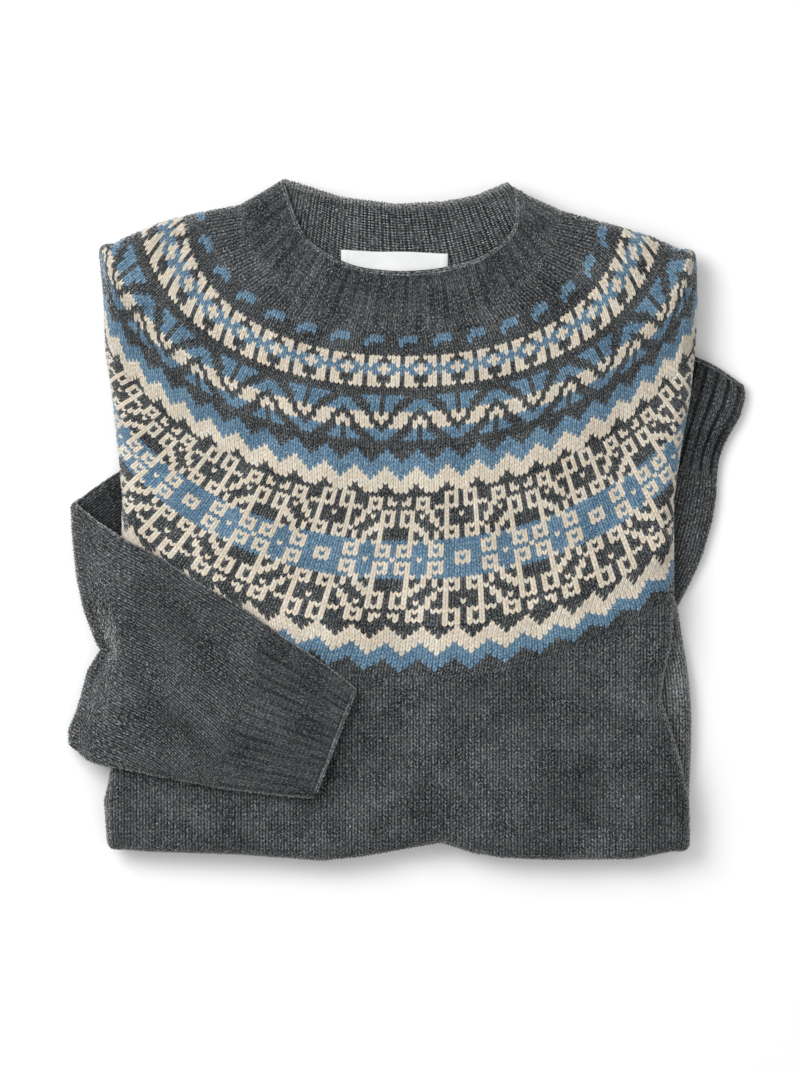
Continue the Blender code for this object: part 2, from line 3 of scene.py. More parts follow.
import bmesh
import bpy
import numpy as np
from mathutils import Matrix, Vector


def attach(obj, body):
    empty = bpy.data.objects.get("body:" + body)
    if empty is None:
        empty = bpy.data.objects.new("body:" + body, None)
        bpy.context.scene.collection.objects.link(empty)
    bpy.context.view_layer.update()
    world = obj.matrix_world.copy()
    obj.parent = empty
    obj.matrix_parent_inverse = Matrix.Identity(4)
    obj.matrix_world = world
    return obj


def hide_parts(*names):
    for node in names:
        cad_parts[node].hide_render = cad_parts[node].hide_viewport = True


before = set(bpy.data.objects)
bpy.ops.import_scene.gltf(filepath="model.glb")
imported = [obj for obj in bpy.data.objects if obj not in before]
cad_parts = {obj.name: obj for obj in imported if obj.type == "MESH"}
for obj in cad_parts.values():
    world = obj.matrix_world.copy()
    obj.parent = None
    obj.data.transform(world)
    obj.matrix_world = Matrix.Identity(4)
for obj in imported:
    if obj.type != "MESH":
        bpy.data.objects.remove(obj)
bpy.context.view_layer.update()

# ---- Patterned yoke, front half.
# Stranded stocking stitch in a wool of three shades, knitted in the round with its rows
# curving round the neck. It rolls over the top fold and both side folds of the pile.

MM = 0.001  # lengths are in millimetres up to add_grid
PILE_TOP = 28.0
ROLL = 12.0
QUARTER = math.pi / 2
CURL_RADIUS = 2.5  # past the roll the cloth turns in under itself
CURL_TURN = 0.3
CORNER_SQUARENESS = 4.0  # 2 would round the pile's corners to the roll's own radius
SEAM_TUCK = 1.4  # a band of knitting starts this far below the one above it


def table(columns, rows):
    """The rows as one array for each named column."""
    return dict(zip(columns.split(), np.array(rows, float).T))


SIDES = table("y left right", (
    (-246, -226, 211), (-211, -228.5, 210.5), (-184, -222.5, 205),
    (-157, -221, 197), (-135, -220, 189.5), (-118, -219.5, 191),
    (-90, -218, 197.5), (-60, -215.5, 199), (-22, -215.5, 199),
    (15, -214.5, 199), (52, -218, 204), (90, -222, 211),
    (127, -227.5, 215), (165, -228.5, 216.5), (200, -232, 215.5),
))
TOP = table("x y", (
    (-232, 198), (-216, 210.5), (-186, 223.5), (-156, 231),
    (-126, 236.5), (-110, 245.5), (-94, 255.2), (-74, 249),
    (-51, 241.5), (-10, 236.3), (24, 237.8), (50, 242.3),
    (74, 252.3), (90, 243), (115, 232), (157, 220.5),
    (184, 212), (204, 203), (215, 195),
))
BOTTOM = table("x y", (
    (-226, -246.5), (-193, -249), (-124, -251.3), (-85, -254.3),
    (-65, -255.8), (-36, -252.8), (-6, -247.5), (24, -242.3),
    (48, -249.8), (70, -253.5), (106, -255), (142, -255),
    (170, -254.3), (197, -249), (211, -246.5),
))
# Soft troughs (negative) and swells of the front: a line, its height and its half width.
CREASES = table("x0 y0 x1 y1 rise reach", (
    (20, -243, 45, -150, -2.2, 26),
    (192, -132, 95, -118, -2.6, 24),
    (145, -232, 150, -110, -7.6, 26),
    (184, -225, 190, -140, 2.6, 18),
    (95, -215, 110, -135, 1.4, 22),
    (-200, 60, -150, 110, -1.2, 26),
    (150, 40, 185, -30, -1.4, 22),
    (25, -160, 90, -120, 1, 34),
    (-190, 175, -120, 205, 0.9, 24),
    (-12, -230, -15, -150, -6.2, 24),
    (36, -180, 68, -105, -1.8, 16),
    (-150, -235, -100, -222, 1, 20),
))
CREASES_GROW = dict(start=-200.0, over=40.0)  # none reaches the left fold


def joined(*columns):
    """Arrays of single coordinates as one array of points."""
    return np.stack(np.broadcast_arrays(*columns), axis=-1)


def read(rows, column, key, at):
    return np.interp(at, rows[key], rows[column])


def ease(t):
    t = np.clip(t, 0, 1)
    return t * t * (3 - 2 * t)


def ramp(value, start, over, size=1.0):
    """Grows smoothly from nothing at the start to its full size over a stretch."""
    return size * ease((value - start) / over)


def creased(creases, x, y):
    """Height that creases add at each point; each one fades along its line."""
    height = np.zeros_like(x)
    for x0, y0, x1, y1, depth, reach in zip(*creases.values()):
        along = ((x - x0) * (x1 - x0) + (y - y0) * (y1 - y0)) / ((x1 - x0) ** 2 + (y1 - y0) ** 2)
        near = np.clip(along, 0, 1)
        off = np.hypot(x - x0 - near * (x1 - x0), y - y0 - near * (y1 - y0))
        height += depth * (1 - 0.6 * near) * ease(1 - off / reach)
    return height


def roll_turns(x, y, behind=0.0):
    """The flat place of each point of the unrolled front, and how far it turns past it."""
    flat_x = np.clip(x, read(SIDES, "left", "y", y) + ROLL, read(SIDES, "right", "y", y) - ROLL)
    low = read(BOTTOM, "y", "x", flat_x) + ROLL
    high = read(TOP, "y", "x", flat_x) - ROLL + behind
    flat_y = np.clip(y, low, high)
    return flat_x, flat_y, (x - flat_x) / ROLL, (y - flat_y) / ROLL


def lay(x, y, lower=0.0, behind=0.0):
    """The place in the pile of each point of the unrolled front, in millimetres."""
    flat_x, flat_y, turn_x, turn_y = roll_turns(x, y, behind)
    turn = np.minimum(np.maximum(np.abs(turn_x), np.abs(turn_y)), QUARTER + CURL_TURN)
    square = np.abs(turn_x) ** CORNER_SQUARENESS + np.abs(turn_y) ** CORNER_SQUARENESS
    length = np.maximum(square ** (1 / CORNER_SQUARENESS), 1e-9)
    rolled = np.minimum(turn, QUARTER)
    curled = (turn - rolled) * ROLL / CURL_RADIUS
    radius = ROLL - lower
    out = radius * np.sin(rolled) - CURL_RADIUS * (1 - np.cos(curled))
    fall = radius * (1 - np.cos(rolled)) + CURL_RADIUS * np.sin(curled)
    soft = creased(CREASES, flat_x, flat_y) * ramp(flat_x, **CREASES_GROW)
    east = flat_x + out * turn_x / length
    north = flat_y + out * turn_y / length
    return joined(east, north, PILE_TOP - lower + soft * np.cos(rolled) - fall)


def within(x, y):
    """True where the unrolled cloth still shows, up to where it has curled in."""
    _, _, turn_x, turn_y = roll_turns(x, y)
    return np.maximum(np.abs(turn_x), np.abs(turn_y)) <= QUARTER + CURL_TURN


def raised(surface, x, y, height, step=0.4):
    """Points of a laid surface moved out along its normal."""
    east = surface(x + step, y) - surface(x - step, y)
    north = surface(x, y + step) - surface(x, y - step)
    normal = np.cross(east, north)
    size = np.linalg.norm(normal, axis=-1)[..., None]
    normal = np.where(size > 1e-9, normal / np.maximum(size, 1e-9), (0.0, 0.0, 1.0))
    return surface(x, y) + normal * height[..., None]


# One stitch is a V of two legs: four columns and two lines of points.
ACROSS = 4
DOWN = 2
V_DROP = 0.62  # how many rows the point of the V hangs below its arms
LEG_HEIGHT = np.array([-0.85, 0.3, -0.55, 0.3])  # mm, from one wale's edge to the next
ROW_HEIGHT = np.array([-0.3, 0.15])
CREST = 0.45  # mm, the height of a leg's middle
HOLLOW = 1.5  # mm, from there down to the gap between two wales
LOOSE = 0.15  # mm, how unevenly the stitches stand
CHANCE = np.random.default_rng(7)


def stitch_marks(u, row, height):
    """What the wool needs at each point: its wale, its row and how far down in a gap it is,
    which the wool turns into painted shade and painted highlight.
    """
    hollow = np.clip((CREST - height) / HOLLOW, -1, 1)
    return joined(u, row, hollow)


def stitch_lines(wales, rows, first_row=0):
    """Column and row positions of a grid of stitches, the height and marks of each point."""
    columns = np.arange(wales * ACROSS + 1)
    lines = np.arange(first_row * DOWN, rows * DOWN + 1)
    spread = np.abs((columns % ACROSS) / ACROSS - 0.5) * 2
    u = np.broadcast_to(columns / ACROSS, (len(lines), len(columns)))
    row = lines[:, None] / DOWN
    height = LEG_HEIGHT[columns % ACROSS] + ROW_HEIGHT[lines % DOWN, None]
    height = height + LOOSE * CHANCE.standard_normal(u.shape)
    return u, row + V_DROP * (1 - spread)[None, :], height, stitch_marks(u, row, height)


def add_grid(mesh, points, marks, keep=None, yarn=None, out=(0, 0, 1)):
    """Adds quads through a grid of points, facing out, with a yarn for each face."""
    lines, columns = points.shape[:2]
    layer = mesh.verts.layers.float_vector.get("stitch")
    if layer is None:
        layer = mesh.verts.layers.float_vector.new("stitch")
    made = bmesh.ops.create_grid(
        mesh, x_segments=columns - 1, y_segments=lines - 1, size=1.0
    )["verts"]
    for vert, place, mark in zip(made, points.reshape(-1, 3) * MM, marks.reshape(-1, 3)):
        vert.co = place
        vert[layer] = mark
    outward = np.broadcast_to(out, points.shape).reshape(-1, 3)
    kept = np.ones(len(made), bool) if keep is None else keep.reshape(-1)
    number = {vert: index for index, vert in enumerate(made)}
    stays, gone, facing = [], [], 0.0
    for face in dict.fromkeys(face for vert in made for face in vert.link_faces):
        corners = [number[vert] for vert in face.verts]
        if not all(kept[corner] for corner in corners):
            gone.append(face)
            continue
        first = min(corners)
        if yarn is not None:
            face.material_index = int(yarn[first // columns, first % columns])
        face.smooth = True
        face.normal_update()
        facing += face.normal.dot(Vector(outward[first]))
        stays.append(face)
    if facing < 0:
        bmesh.ops.reverse_faces(mesh, faces=stays)
    bmesh.ops.delete(mesh, geom=gone, context="FACES")


def finish(
    name, mesh, node, yarns=None
):
    """Makes the piece an object that stands for its CAD node."""
    loose = [vert for vert in mesh.verts if not vert.link_faces]
    bmesh.ops.delete(mesh, geom=loose, context="VERTS")
    data = bpy.data.meshes.new(name)
    mesh.to_mesh(data)
    mesh.free()
    piece = bpy.data.objects.new(name, data)
    bpy.context.scene.collection.objects.link(piece)
    for yarn in yarns or (charcoal,):
        data.materials.append(yarn)
    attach(piece, "root")
    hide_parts(node)


TONE = dict(strands=0.44, legs=0.2, slow=0.38)  # what each adds to the wool's lightness
WARM = (1.07, 1.0, 0.88)
COOL = (0.90, 1.0, 1.09)


def new_material(name, roughness, sheen):
    """A material, its nodes, links and shader, and the object's own coordinates."""
    made = bpy.data.materials.new(name)
    made.use_nodes = True
    nodes, links = made.node_tree.nodes, made.node_tree.links
    shader = nodes["Principled BSDF"]
    shader.inputs["Roughness"].default_value = roughness
    shader.inputs["Sheen Weight"].default_value = sheen
    return made, nodes, links, shader, nodes.new("ShaderNodeTexCoord").outputs["Object"]


def add_bump(nodes, links, shader, height, strength, distance):
    relief = nodes.new("ShaderNodeBump")
    relief.inputs["Strength"].default_value = strength
    relief.inputs["Distance"].default_value = distance
    links.new(height, relief.inputs["Height"])
    links.new(relief.outputs["Normal"], shader.inputs["Normal"])


def new_mix(nodes):
    """A colour mix node's sockets: its share, its two colours and its result."""
    node = nodes.new("ShaderNodeMix")
    node.data_type = "RGBA"
    return node.inputs[0], node.inputs[6], node.inputs[7], node.outputs[2]


def wool(name, deep, shade, light, fleck, light_share=0.5, gap_shade_share=0.95, mottle=0.1):
    """Spun wool of one shade: strands along each stitch's legs, with painted shade between the
    legs and a painted highlight on their crests.
    """
    made, nodes, links, shader, place = new_material(name, 0.95, 0.8)
    shader.inputs["Specular IOR Level"].default_value = 0.12
    shader.inputs["Sheen Roughness"].default_value = 0.25
    attribute = nodes.new("ShaderNodeAttribute")
    attribute.attribute_name = "stitch"
    stitch = attribute.outputs["Vector"]
    parts = nodes.new("ShaderNodeSeparateXYZ")
    links.new(stitch, parts.inputs[0])
    hollow = parts.outputs[2]

    def fill(socket, value):
        if isinstance(value, bpy.types.NodeSocket):
            links.new(value, socket)
        else:
            socket.default_value = value

    def maths(operation, *values, kind="ShaderNodeMath"):
        node = nodes.new(kind)
        node.operation = operation
        for socket, value in zip(node.inputs, values):
            fill(socket, value)
        return node.outputs[0]

    def scaled(vector, by):
        return maths("MULTIPLY", vector, by, kind="ShaderNodeVectorMath")

    def noise(vector, scale, detail=2.0):
        node = nodes.new("ShaderNodeTexNoise")
        node.inputs["Scale"].default_value = scale
        node.inputs["Detail"].default_value = detail
        node.inputs["Roughness"].default_value = 0.6
        links.new(vector, node.inputs["Vector"])
        return node.outputs["Fac"]

    def stretched(value, low, high):
        node = nodes.new("ShaderNodeMapRange")
        node.inputs["From Min"].default_value = low
        node.inputs["From Max"].default_value = high
        links.new(value, node.inputs["Value"])
        return node.outputs["Result"]

    def mixed(share, low, high):
        *inputs, result = new_mix(nodes)
        for socket, value in zip(inputs, (share, low, high)):
            fill(socket, (*value, 1.0) if isinstance(value, tuple) else value)
        return result

    # One shade for each leg, strands of about 2 mm on it, and slow changes over 25 mm.
    legs = nodes.new("ShaderNodeTexWhiteNoise")
    cells = scaled(stitch, (2.0, 1.0, 0.0))
    floored = maths("FLOOR", cells, kind="ShaderNodeVectorMath")
    links.new(floored, legs.inputs["Vector"])
    strand_grid = scaled(stitch, (2.2, 1.9, 0.0))
    cut = 0.62 - 0.2 * light_share
    strands = stretched(noise(strand_grid, 1.0, 1.0), cut - 0.09, cut + 0.09)
    slow = stretched(noise(place, 40.0, 3.0), 0.37, 0.63)
    tone = maths("MULTIPLY", legs.outputs["Value"], TONE["legs"])
    tone = maths("MULTIPLY_ADD", strands, TONE["strands"], tone)
    tone = maths("MULTIPLY_ADD", slow, TONE["slow"], tone)
    colour = mixed(tone, shade, light)
    hue_grid = scaled(stitch, (1.3, 0.7, 0.0))
    hue = mixed(stretched(noise(hue_grid, 1.0), 0.35, 0.65), WARM, COOL)
    colour = scaled(colour, hue)
    fibre_grid = scaled(stitch, (3.1, 4.1, 0.0))
    flecked = stretched(noise(fibre_grid, 1.0, 1.0), 0.56, 0.68)
    colour = mixed(flecked, colour, fleck)
    # Painted highlight: the crests of the legs are mixed towards the fleck colour.
    crest_highlight = maths("MULTIPLY", stretched(hollow, 0.45, -0.15), 0.5)
    colour = mixed(maths("MULTIPLY", crest_highlight, strands), colour, fleck)
    colour = mixed(stretched(hollow, 0.0, -0.6), colour, fleck)
    # Painted shade: where a point lies low in a gap between legs, its colour is mixed towards
    # the gap's shade colour.
    gap = maths("POWER", maths("MAXIMUM", hollow, 0.0), 0.95)
    colour = mixed(maths("MULTIPLY", gap, gap_shade_share), colour, deep)
    # The melange is darker and lighter in patches about 50 mm wide, longer along the wales.
    patch_grid = scaled(stitch, (0.1, 0.04, 0.0))
    patches = stretched(noise(patch_grid, 1.0, 6.0), 0.32, 0.68)
    low, high = (1 - mottle,) * 3, (1 + mottle,) * 3
    colour = scaled(colour, mixed(patches, low, high))
    links.new(colour, shader.inputs["Base Color"])
    add_bump(nodes, links, shader, strands, 0.8, 0.0006)
    return made


# Each wool's first colour is the painted shade between its legs; the others are the wool's own
# tones.
charcoal = wool(
    "charcoal_wool",
    deep=(0.006, 0.007, 0.009),
    shade=(0.010, 0.012, 0.015),
    light=(0.158, 0.170, 0.176),
    fleck=(0.48, 0.49, 0.49),
    light_share=0.4,
    mottle=0.3,
)
blue = wool(
    "blue_wool",
    deep=(0.030, 0.055, 0.090),
    shade=(0.050, 0.130, 0.230),
    light=(0.250, 0.450, 0.640),
    fleck=(0.58, 0.72, 0.80),
    gap_shade_share=0.8,
)
cream = wool(
    "cream_wool",
    deep=(0.400, 0.290, 0.190),
    shade=(0.740, 0.630, 0.480),
    light=(0.990, 0.950, 0.850),
    fleck=(0.99, 0.98, 0.94),
    light_share=0.7,
    gap_shade_share=0.75,
)
YARNS = {".": 0, "b": 1, "c": 2}

# The yoke's rows round the neck: how far down the front each one passes, how far it
# reaches to the sides, how square its curve is and where its middle is.
ROUNDS_FROM = 240.0
ROUNDS = table("down across power middle", (
    (99.8, 147, 2.2, -4.2),
    (114, 161.3, 2.25, -3.4),
    (161.3, 225, 2.1, -6.4),
    (210, 249.8, 2, -6.4),
    (331.5, 299, 2.3, 2),
    (352.5, 344, 2, 2),
    (375, 366, 2, 2),
))


def round_shape(down):
    """How far a row reaches to the sides, how square its curve is and where its middle is."""
    return (read(ROUNDS, column, "down", down) for column in ("across", "power", "middle"))


def round_point(down, turn):
    """Plan of the point where a row passes a wale's turn; beyond a quarter it runs straight."""
    across, power, middle = round_shape(down)
    bent = np.clip(turn, -QUARTER, QUARTER)
    side = np.abs(np.sin(bent))
    x = middle + across * np.sin(bent)
    y = ROUNDS_FROM - down * np.maximum(1 - side**power, 0) ** (1 / power)
    return x, y + np.abs(turn - bent) * across


def run_lengths(path):
    """Length of a path up to each of its points."""
    return np.concatenate([[0], np.cumsum(np.linalg.norm(np.diff(path, axis=0), axis=1))])


def at_length(along, lengths, path):
    """Points of a path at distances along it."""
    return joined(*(np.interp(along, lengths, column) for column in path.T))


ROUND_TURN = QUARTER + 0.4  # how far a row is followed each way from its middle


def turn_scale(down):
    """Lengths along a row from its middle, and the turns they belong to."""
    turns = np.linspace(-ROUND_TURN, ROUND_TURN, 3001)
    lengths = run_lengths(joined(*round_point(np.full_like(turns, down), turns)))
    return lengths - np.interp(0.0, turns, lengths), turns


def mirrored(half):
    """A whole repeat from its half, which runs from one mirror line to the next."""
    return [row + row[-2:0:-1] for row in half]


SMALL_DASHES = ("..bbb..", ".bbbb..", ".b.....", ".......", ".......")
SMALL_STARS = mirrored((
    ".ccc.",
    ".cc..",
    "bcbbc",
    "bbbcc",
    "bcbbc",
    ".cc..",
    ".cc..",
    ".ccc.",
))
CHEVRONS = mirrored((
    ".........",
    ".........",
    ".bbbb....",
    ".bbb...bb",
    ".bb...bbb",
    ".bb..bbb.",
    ".c..ccc..",
    "cc.ccc..c",
    "c..ccc.cc",
    "..ccc..c.",
    ".bbb...b.",
    "bbb...bb.",
    "bb...bbb.",
    ".........",
    ".........",
))


def zigzag(rows, first, second, rising):
    """Half a repeat of two yarns, each four rows deep, stepping a row from wale to wale."""
    half = []
    for row in range(rows):
        depths = [row - (3 - wale if rising else wale) for wale in range(4)]
        half.append("".join("." if not 0 <= n < 8 else (first, second)[n // 4] for n in depths))
    return half


UPPER_ZIGZAG = mirrored(zigzag(10, "b", "c", rising=False))
LOWER_ZIGZAG = mirrored(zigzag(13, "c", "b", rising=True))
# The wide band from its middle row down, with o for the light stitches.
WIDE_HALF = (
    "o....o......o.",
    ".ooo...ooo..oo",
    ".o.o...o.o....",
    ".ooo...ooo....",
    "...oo.oo......",
    "...o..o.o.ooo.",
    "...o.oo.o.o.o.",
    "...ooo...oooo.",
    ".oooo...o.o...",
    ".o.o...oo.o...",
    ".o.o.o.o..o..o",
    ".ooo..oo..o...",
    "....ooo.ooooo.",
    ".oo.o.o...o.o.",
    "..o.ooo...o.o.",
    "..........ooo.",
)
BLUE_ROWS = 4  # either side of the wide band's middle row


def wide_row(distance):
    ground = "b" if distance <= BLUE_ROWS else "."
    return WIDE_HALF[distance].replace("o", "c").replace(".", ground)


WIDE_BAND = mirrored([wide_row(abs(row)) for row in range(-15, 16)])
CHARTS = (SMALL_DASHES, SMALL_STARS, CHEVRONS, UPPER_ZIGZAG, WIDE_BAND, LOWER_ZIGZAG)
# Each band: where it starts, its row's height, a wale's width, where a mirror line
# crosses the middle of the front, and how its wales lean and fan out as they go down.
BANDS = table("start row wale axis lean fan", (
    (100.4, 3.1, 3.69, -5.6, 0, -0.002),
    (115.9, 2.96, 3.45, -0.3, 0.03, -0.0053),
    (139.5, 3.1, 3.63, -14.1, 0, -0.003),
    (186, 3.29, 3.82, 12.4, -0.05, 0),
    (218.9, 3.225, 4.06, -9.9, -0.18, 0.0016),
    (318.9, 3.08, 4.42, -7.1, -0.15, 0),
))
WALE_REACH = 480.0  # mm each way along a row, past both side folds
SPARE = 20.0  # mm of a row left over at each end


def knit_band(mesh, chart, start, row_height, wale, axis, lean, fan):
    rows = len(chart)
    depth = rows * row_height
    middle = start + depth / 2
    lengths, turns = turn_scale(middle)
    reach = min(WALE_REACH, lengths[-1] - SPARE)
    first = -int(reach / wale)
    wales = -2 * first
    u, v, height, marks = stitch_lines(wales, rows, first_row=-1)
    down = start + v * row_height
    along = axis + (u + first - 0.5) * wale
    along = along + (lean + fan * along) * (down - middle)
    turn = np.interp(along, lengths, turns)
    if fan == 0.0:
        # No fanning: each wale stays as far along the last row as along the first.
        share = (down - start) / depth
        first_turn = np.interp(along, *turn_scale(start))
        last_turn = np.interp(along, *turn_scale(start + depth))
        turn = first_turn * (1 - share) + last_turn * share
    x, y = round_point(down, turn)
    tucked = ease(0.9 - v) * SEAM_TUCK
    keep = within(x, y)
    lines = np.clip(np.arange(-DOWN, rows * DOWN) // DOWN, 0, rows - 1)
    columns = (np.arange(wales * ACROSS) // ACROSS + first) % len(chart[0])
    codes = np.array([[YARNS[stitch] for stitch in row] for row in chart])
    yarn = codes[lines[:, None], columns[None, :]]
    add_grid(mesh, raised(lay, x, y, height - tucked), marks, keep, yarn)


yoke = bmesh.new()
for chart, *sizes in zip(CHARTS, *BANDS.values()):
    knit_band(yoke, chart, *sizes)
finish(
    "yoke_knit",
    yoke,
    "yoke_front",
    yarns=(charcoal, blue, cream),
)

# ---- Plain front of the body.
# The same wool in plain stocking stitch, knitted on below the yoke. It rolls over both
# side folds and the bottom fold, with a few soft creases where the pile is not quite flat.

BODY_WALE = 4.6
BODY_ROW = 3.25
BODY_LEFT, BODY_RIGHT = -245.0, 230.0
BODY_TOP, BODY_END = 10.0, -275.0
BODY_HIDDEN = 9.0  # mm that it runs on above the yoke's last round
BODY_TUCK = dict(start=-9.5, over=6.5, size=1.3)  # it sinks as it nears that round
YOKE_DOWN = 352.5  # the round where the yoke ends
body = bmesh.new()
wales = int((BODY_RIGHT - BODY_LEFT) / BODY_WALE)
rows = int((BODY_TOP - BODY_END) / BODY_ROW)
u, v, height, marks = stitch_lines(wales, rows)
x = BODY_LEFT + u * BODY_WALE
y = BODY_TOP - v * BODY_ROW
across, _, middle = round_shape(YOKE_DOWN)
share = np.minimum(np.abs(x - middle) / across, 1)
above = y - ROUNDS_FROM + YOKE_DOWN * np.sqrt(1 - share**2)
keep = within(x, y) & (above < BODY_HIDDEN)
add_grid(body, raised(lay, x, y, height - ramp(above, **BODY_TUCK)), marks, keep)
finish("body_knit", body, "body_front")

# ---- Neckband, front half.
# Two by two rib in the same wool, knitted on round the neck and cast off. It lies flat
# with the yoke, and its ribs show as fine lines that spread from the neck.

RIB_PITCH = 8.6
RIB_ROW = 3.3
WALES_IN_RIB = 2
RIB_PAINTED_SHADE = 0.15  # mm lower that the legs of a rib count as lying when their colour is set: painted shade on the ribs; their shape stays
GROOVE_FROM = 0.7  # share of a rib's pitch where its groove begins
# Across one rib: where each point is, its height, and how far along its V it is.
RIB_POINTS = table("place height arm", (
    (0, -0.6, 1),
    (0.085, 0.25, 0.5),
    (0.17, -0.3, 0),
    (0.255, 0.3, 0.5),
    (0.34, -0.55, 1),
    (0.425, 0.3, 0.5),
    (0.51, -0.3, 0),
    (0.595, 0.25, 0.5),
    (0.68, -0.6, 1),
    (0.765, -1, 0.6),
    (0.845, -1.2, 0.6),
    (0.925, -1, 0.6),
))
NECK_EDGE = table("x y", (
    (-94, 262.2), (-92.6, 252.4), (-87.4, 236.3), (-79, 213.8),
    (-67.9, 204.8), (-51.4, 194.3), (-36.4, 189), (-6.4, 186),
    (23.6, 188.3), (53.6, 196.5), (67.1, 206.3), (77.6, 213.8),
    (80.6, 228.8), (79, 243), (74, 259),
))
BASE_X, BASE_Y = -6.4, 240.0  # middle of the curve where the band meets the wedge
BASE_ACROSS, BASE_DOWN = 120.0, 100.0
BASE_UNDER = 1.5  # mm that the band runs on under the wedge
BASE_TURNS = (-1.9, 180.4)  # degrees from one end of that curve to the other
BASE_BENDS = (2.6, 176.0)  # beyond these it runs straight up
BAND_DEEP = 46.0
EDGE_ROLL = 1.7  # radius of the cast-off edge
ROLL_STEPS = (35.0, 70.0, 110.0, 150.0)  # degrees round that edge


def unit(vectors):
    return vectors / np.linalg.norm(vectors, axis=-1)[..., None]


def along_path(x, y, shares):
    """Points at shares of the length of the path through x and y."""
    lengths = run_lengths(joined(x, y))
    return at_length(shares * lengths[-1], lengths, joined(x, y))


def smoothed(path, rounds):
    path = np.array(path, float)
    for _ in range(rounds):
        path[1:-1] += 0.25 * (path[:-2] + path[2:] - 2 * path[1:-1])
    return path


def even_path(rows, count, rounds):
    """The path through a table's points, evenly spaced and smoothed."""
    return smoothed(along_path(rows["x"], rows["y"], np.linspace(0, 1, count)), rounds)


def uneven(u, v, low, high):
    """A share that wanders between low and high over a few ribs and rows."""
    wander = 0.3 * np.sin(2.4 * u + 1.1 * np.sin(0.31 * v)) + 0.2 * np.sin(0.9 * u - 0.37 * v)
    return low + (high - low) * (0.5 + wander)


def rib_grid(profile, ribs, rows):
    """Each column's place in ribs and point of the profile, and each line's number."""
    per_rib = len(profile["place"])
    number = np.arange(ribs * per_rib + 1)
    point = number % per_rib
    u = number // per_rib + profile["place"][point]
    return u, point, np.arange(rows * DOWN + 1)[:, None]


def rib_lines(ribs, rows, relief, groove):
    """Places along (in ribs) and across (in rows) of a grid of ribs, heights and marks.
    Where ribs have relaxed, only a share of their grooves' depth is left."""
    u, point, lines = rib_grid(RIB_POINTS, ribs, rows)
    row = lines / DOWN
    v = row + V_DROP * (1 - RIB_POINTS["arm"][point])
    u = np.broadcast_to(u, v.shape)
    depth = np.where(RIB_POINTS["place"][point] > GROOVE_FROM, uneven(u, v, *groove), 1.0)
    height = relief * (RIB_POINTS["height"][point] * depth + ROW_HEIGHT[lines % DOWN])
    height = height + LOOSE * CHANCE.standard_normal(v.shape)
    # The marks take the legs as lying lower than they do: painted shade on ribbed pieces.
    return u, v, height, stitch_marks(u * WALES_IN_RIB, row, height - RIB_PAINTED_SHADE)


neck_edge = even_path(NECK_EDGE, 160, 40)
rib_count = int(round(run_lengths(neck_edge)[-1] / RIB_PITCH))
band_rows = int(BAND_DEEP / RIB_ROW)
u, v, height, marks = rib_lines(rib_count, band_rows, relief=0.9, groove=(0.1, 0.45))
turns = np.radians(np.linspace(*BASE_TURNS, 160))
bends = np.clip(turns, *np.radians(BASE_BENDS))
base_x = BASE_X - (BASE_ACROSS + BASE_UNDER) * np.cos(bends)
base_y = BASE_Y - (BASE_DOWN + BASE_UNDER) * np.sin(turns)
inner = along_path(*neck_edge.T, u[0] / rib_count)
outer = along_path(base_x, base_y, u[0] / rib_count)
outward = unit(outer - inner)
start = inner + outward * EDGE_ROLL
share = (v / band_rows)[..., None]
plan = start * (1 - share) + outer * share
fade = 1 - 0.5 * np.clip(v / band_rows, 0, 1)
sunk = np.clip(v - band_rows + 1, 0, 2) * 0.5
roll_angles = np.radians(ROLL_STEPS[::-1])[:, None]
roll_plan = start - outward * (EDGE_ROLL * np.sin(roll_angles))[..., None]
roll_low = EDGE_ROLL * (1 - np.cos(roll_angles)) + 0 * start[:, 0]
plan = np.concatenate([roll_plan, plan])
lower = np.concatenate([roll_low, np.zeros_like(v)])
first_height, first_marks = (
    np.repeat(lines[:1], len(roll_angles), axis=0) for lines in (height, marks)
)
height = np.concatenate([0.5 * first_height, height * fade - sunk])
marks = np.concatenate([first_marks, marks])


def lay_band(x, y):
    return lay(x, y, lower)


neckband = bmesh.new()
x, y = plan[..., 0], plan[..., 1]
points = raised(lay_band, x, y, height + 0.35)
add_grid(neckband, points, marks, within(x, y))

# The cast-off edge: one wale of stitches that runs along the edge, lightened as a painted
# highlight.
CAST_OFF = dict(link=3.9, width=3.6, proud=0.4, pale=0.2)


def add_cast_off(mesh, middle, side, up):
    """Lays one wale along the middle points, between their side and up directions."""
    lengths = run_lengths(middle)
    u, v, height, marks = stitch_lines(1, int(lengths[-1] / CAST_OFF["link"]) - 1)
    place, facing, aside = (
        at_length(v * CAST_OFF["link"], lengths, line) for line in (middle, up, side)
    )
    crown = CAST_OFF["proud"] * (1 - (2 * u - 1) ** 4) + 0.6 * height
    points = place + facing * crown[..., None]
    points = points + aside * ((u - 0.5) * CAST_OFF["width"])[..., None]
    # Painted highlight: the edge's stitches are lightened as if they caught the light.
    marks[..., 2] -= CAST_OFF["pale"]
    add_grid(mesh, points, marks, out=facing)


tangent = unit(np.gradient(neck_edge, axis=0))
edge_side = joined(tangent[:, 1], -tangent[:, 0], 0.0)
# The whole edge, then the seam that runs beside it up to the right shoulder.
for set_in, first in ((2.2, 0), (6.4, 142)):
    edge_plan = (neck_edge + edge_side[:, :2] * set_in)[first:]
    shown = within(*edge_plan.T)
    edge_points = lay(*edge_plan.T, -0.2)[shown]
    edge_up = np.tile((0.0, 0.0, 1.0), (len(edge_points), 1))
    add_cast_off(neckband, edge_points, edge_side[first:][shown], edge_up)
finish("neckband_front_knit", neckband, "neckband_front")

# ---- Plain wedge between the neckband and the yoke's first shaded row.
# Plain rows worked back and forth at the shoulders, which bring the neck forward. They are
# part of the yoke's front half and pass under its first band.

WEDGE_ROWS = 14
WEDGE_WALES = 86
WEDGE_TURN = math.pi + 0.5  # how far it goes round the neck
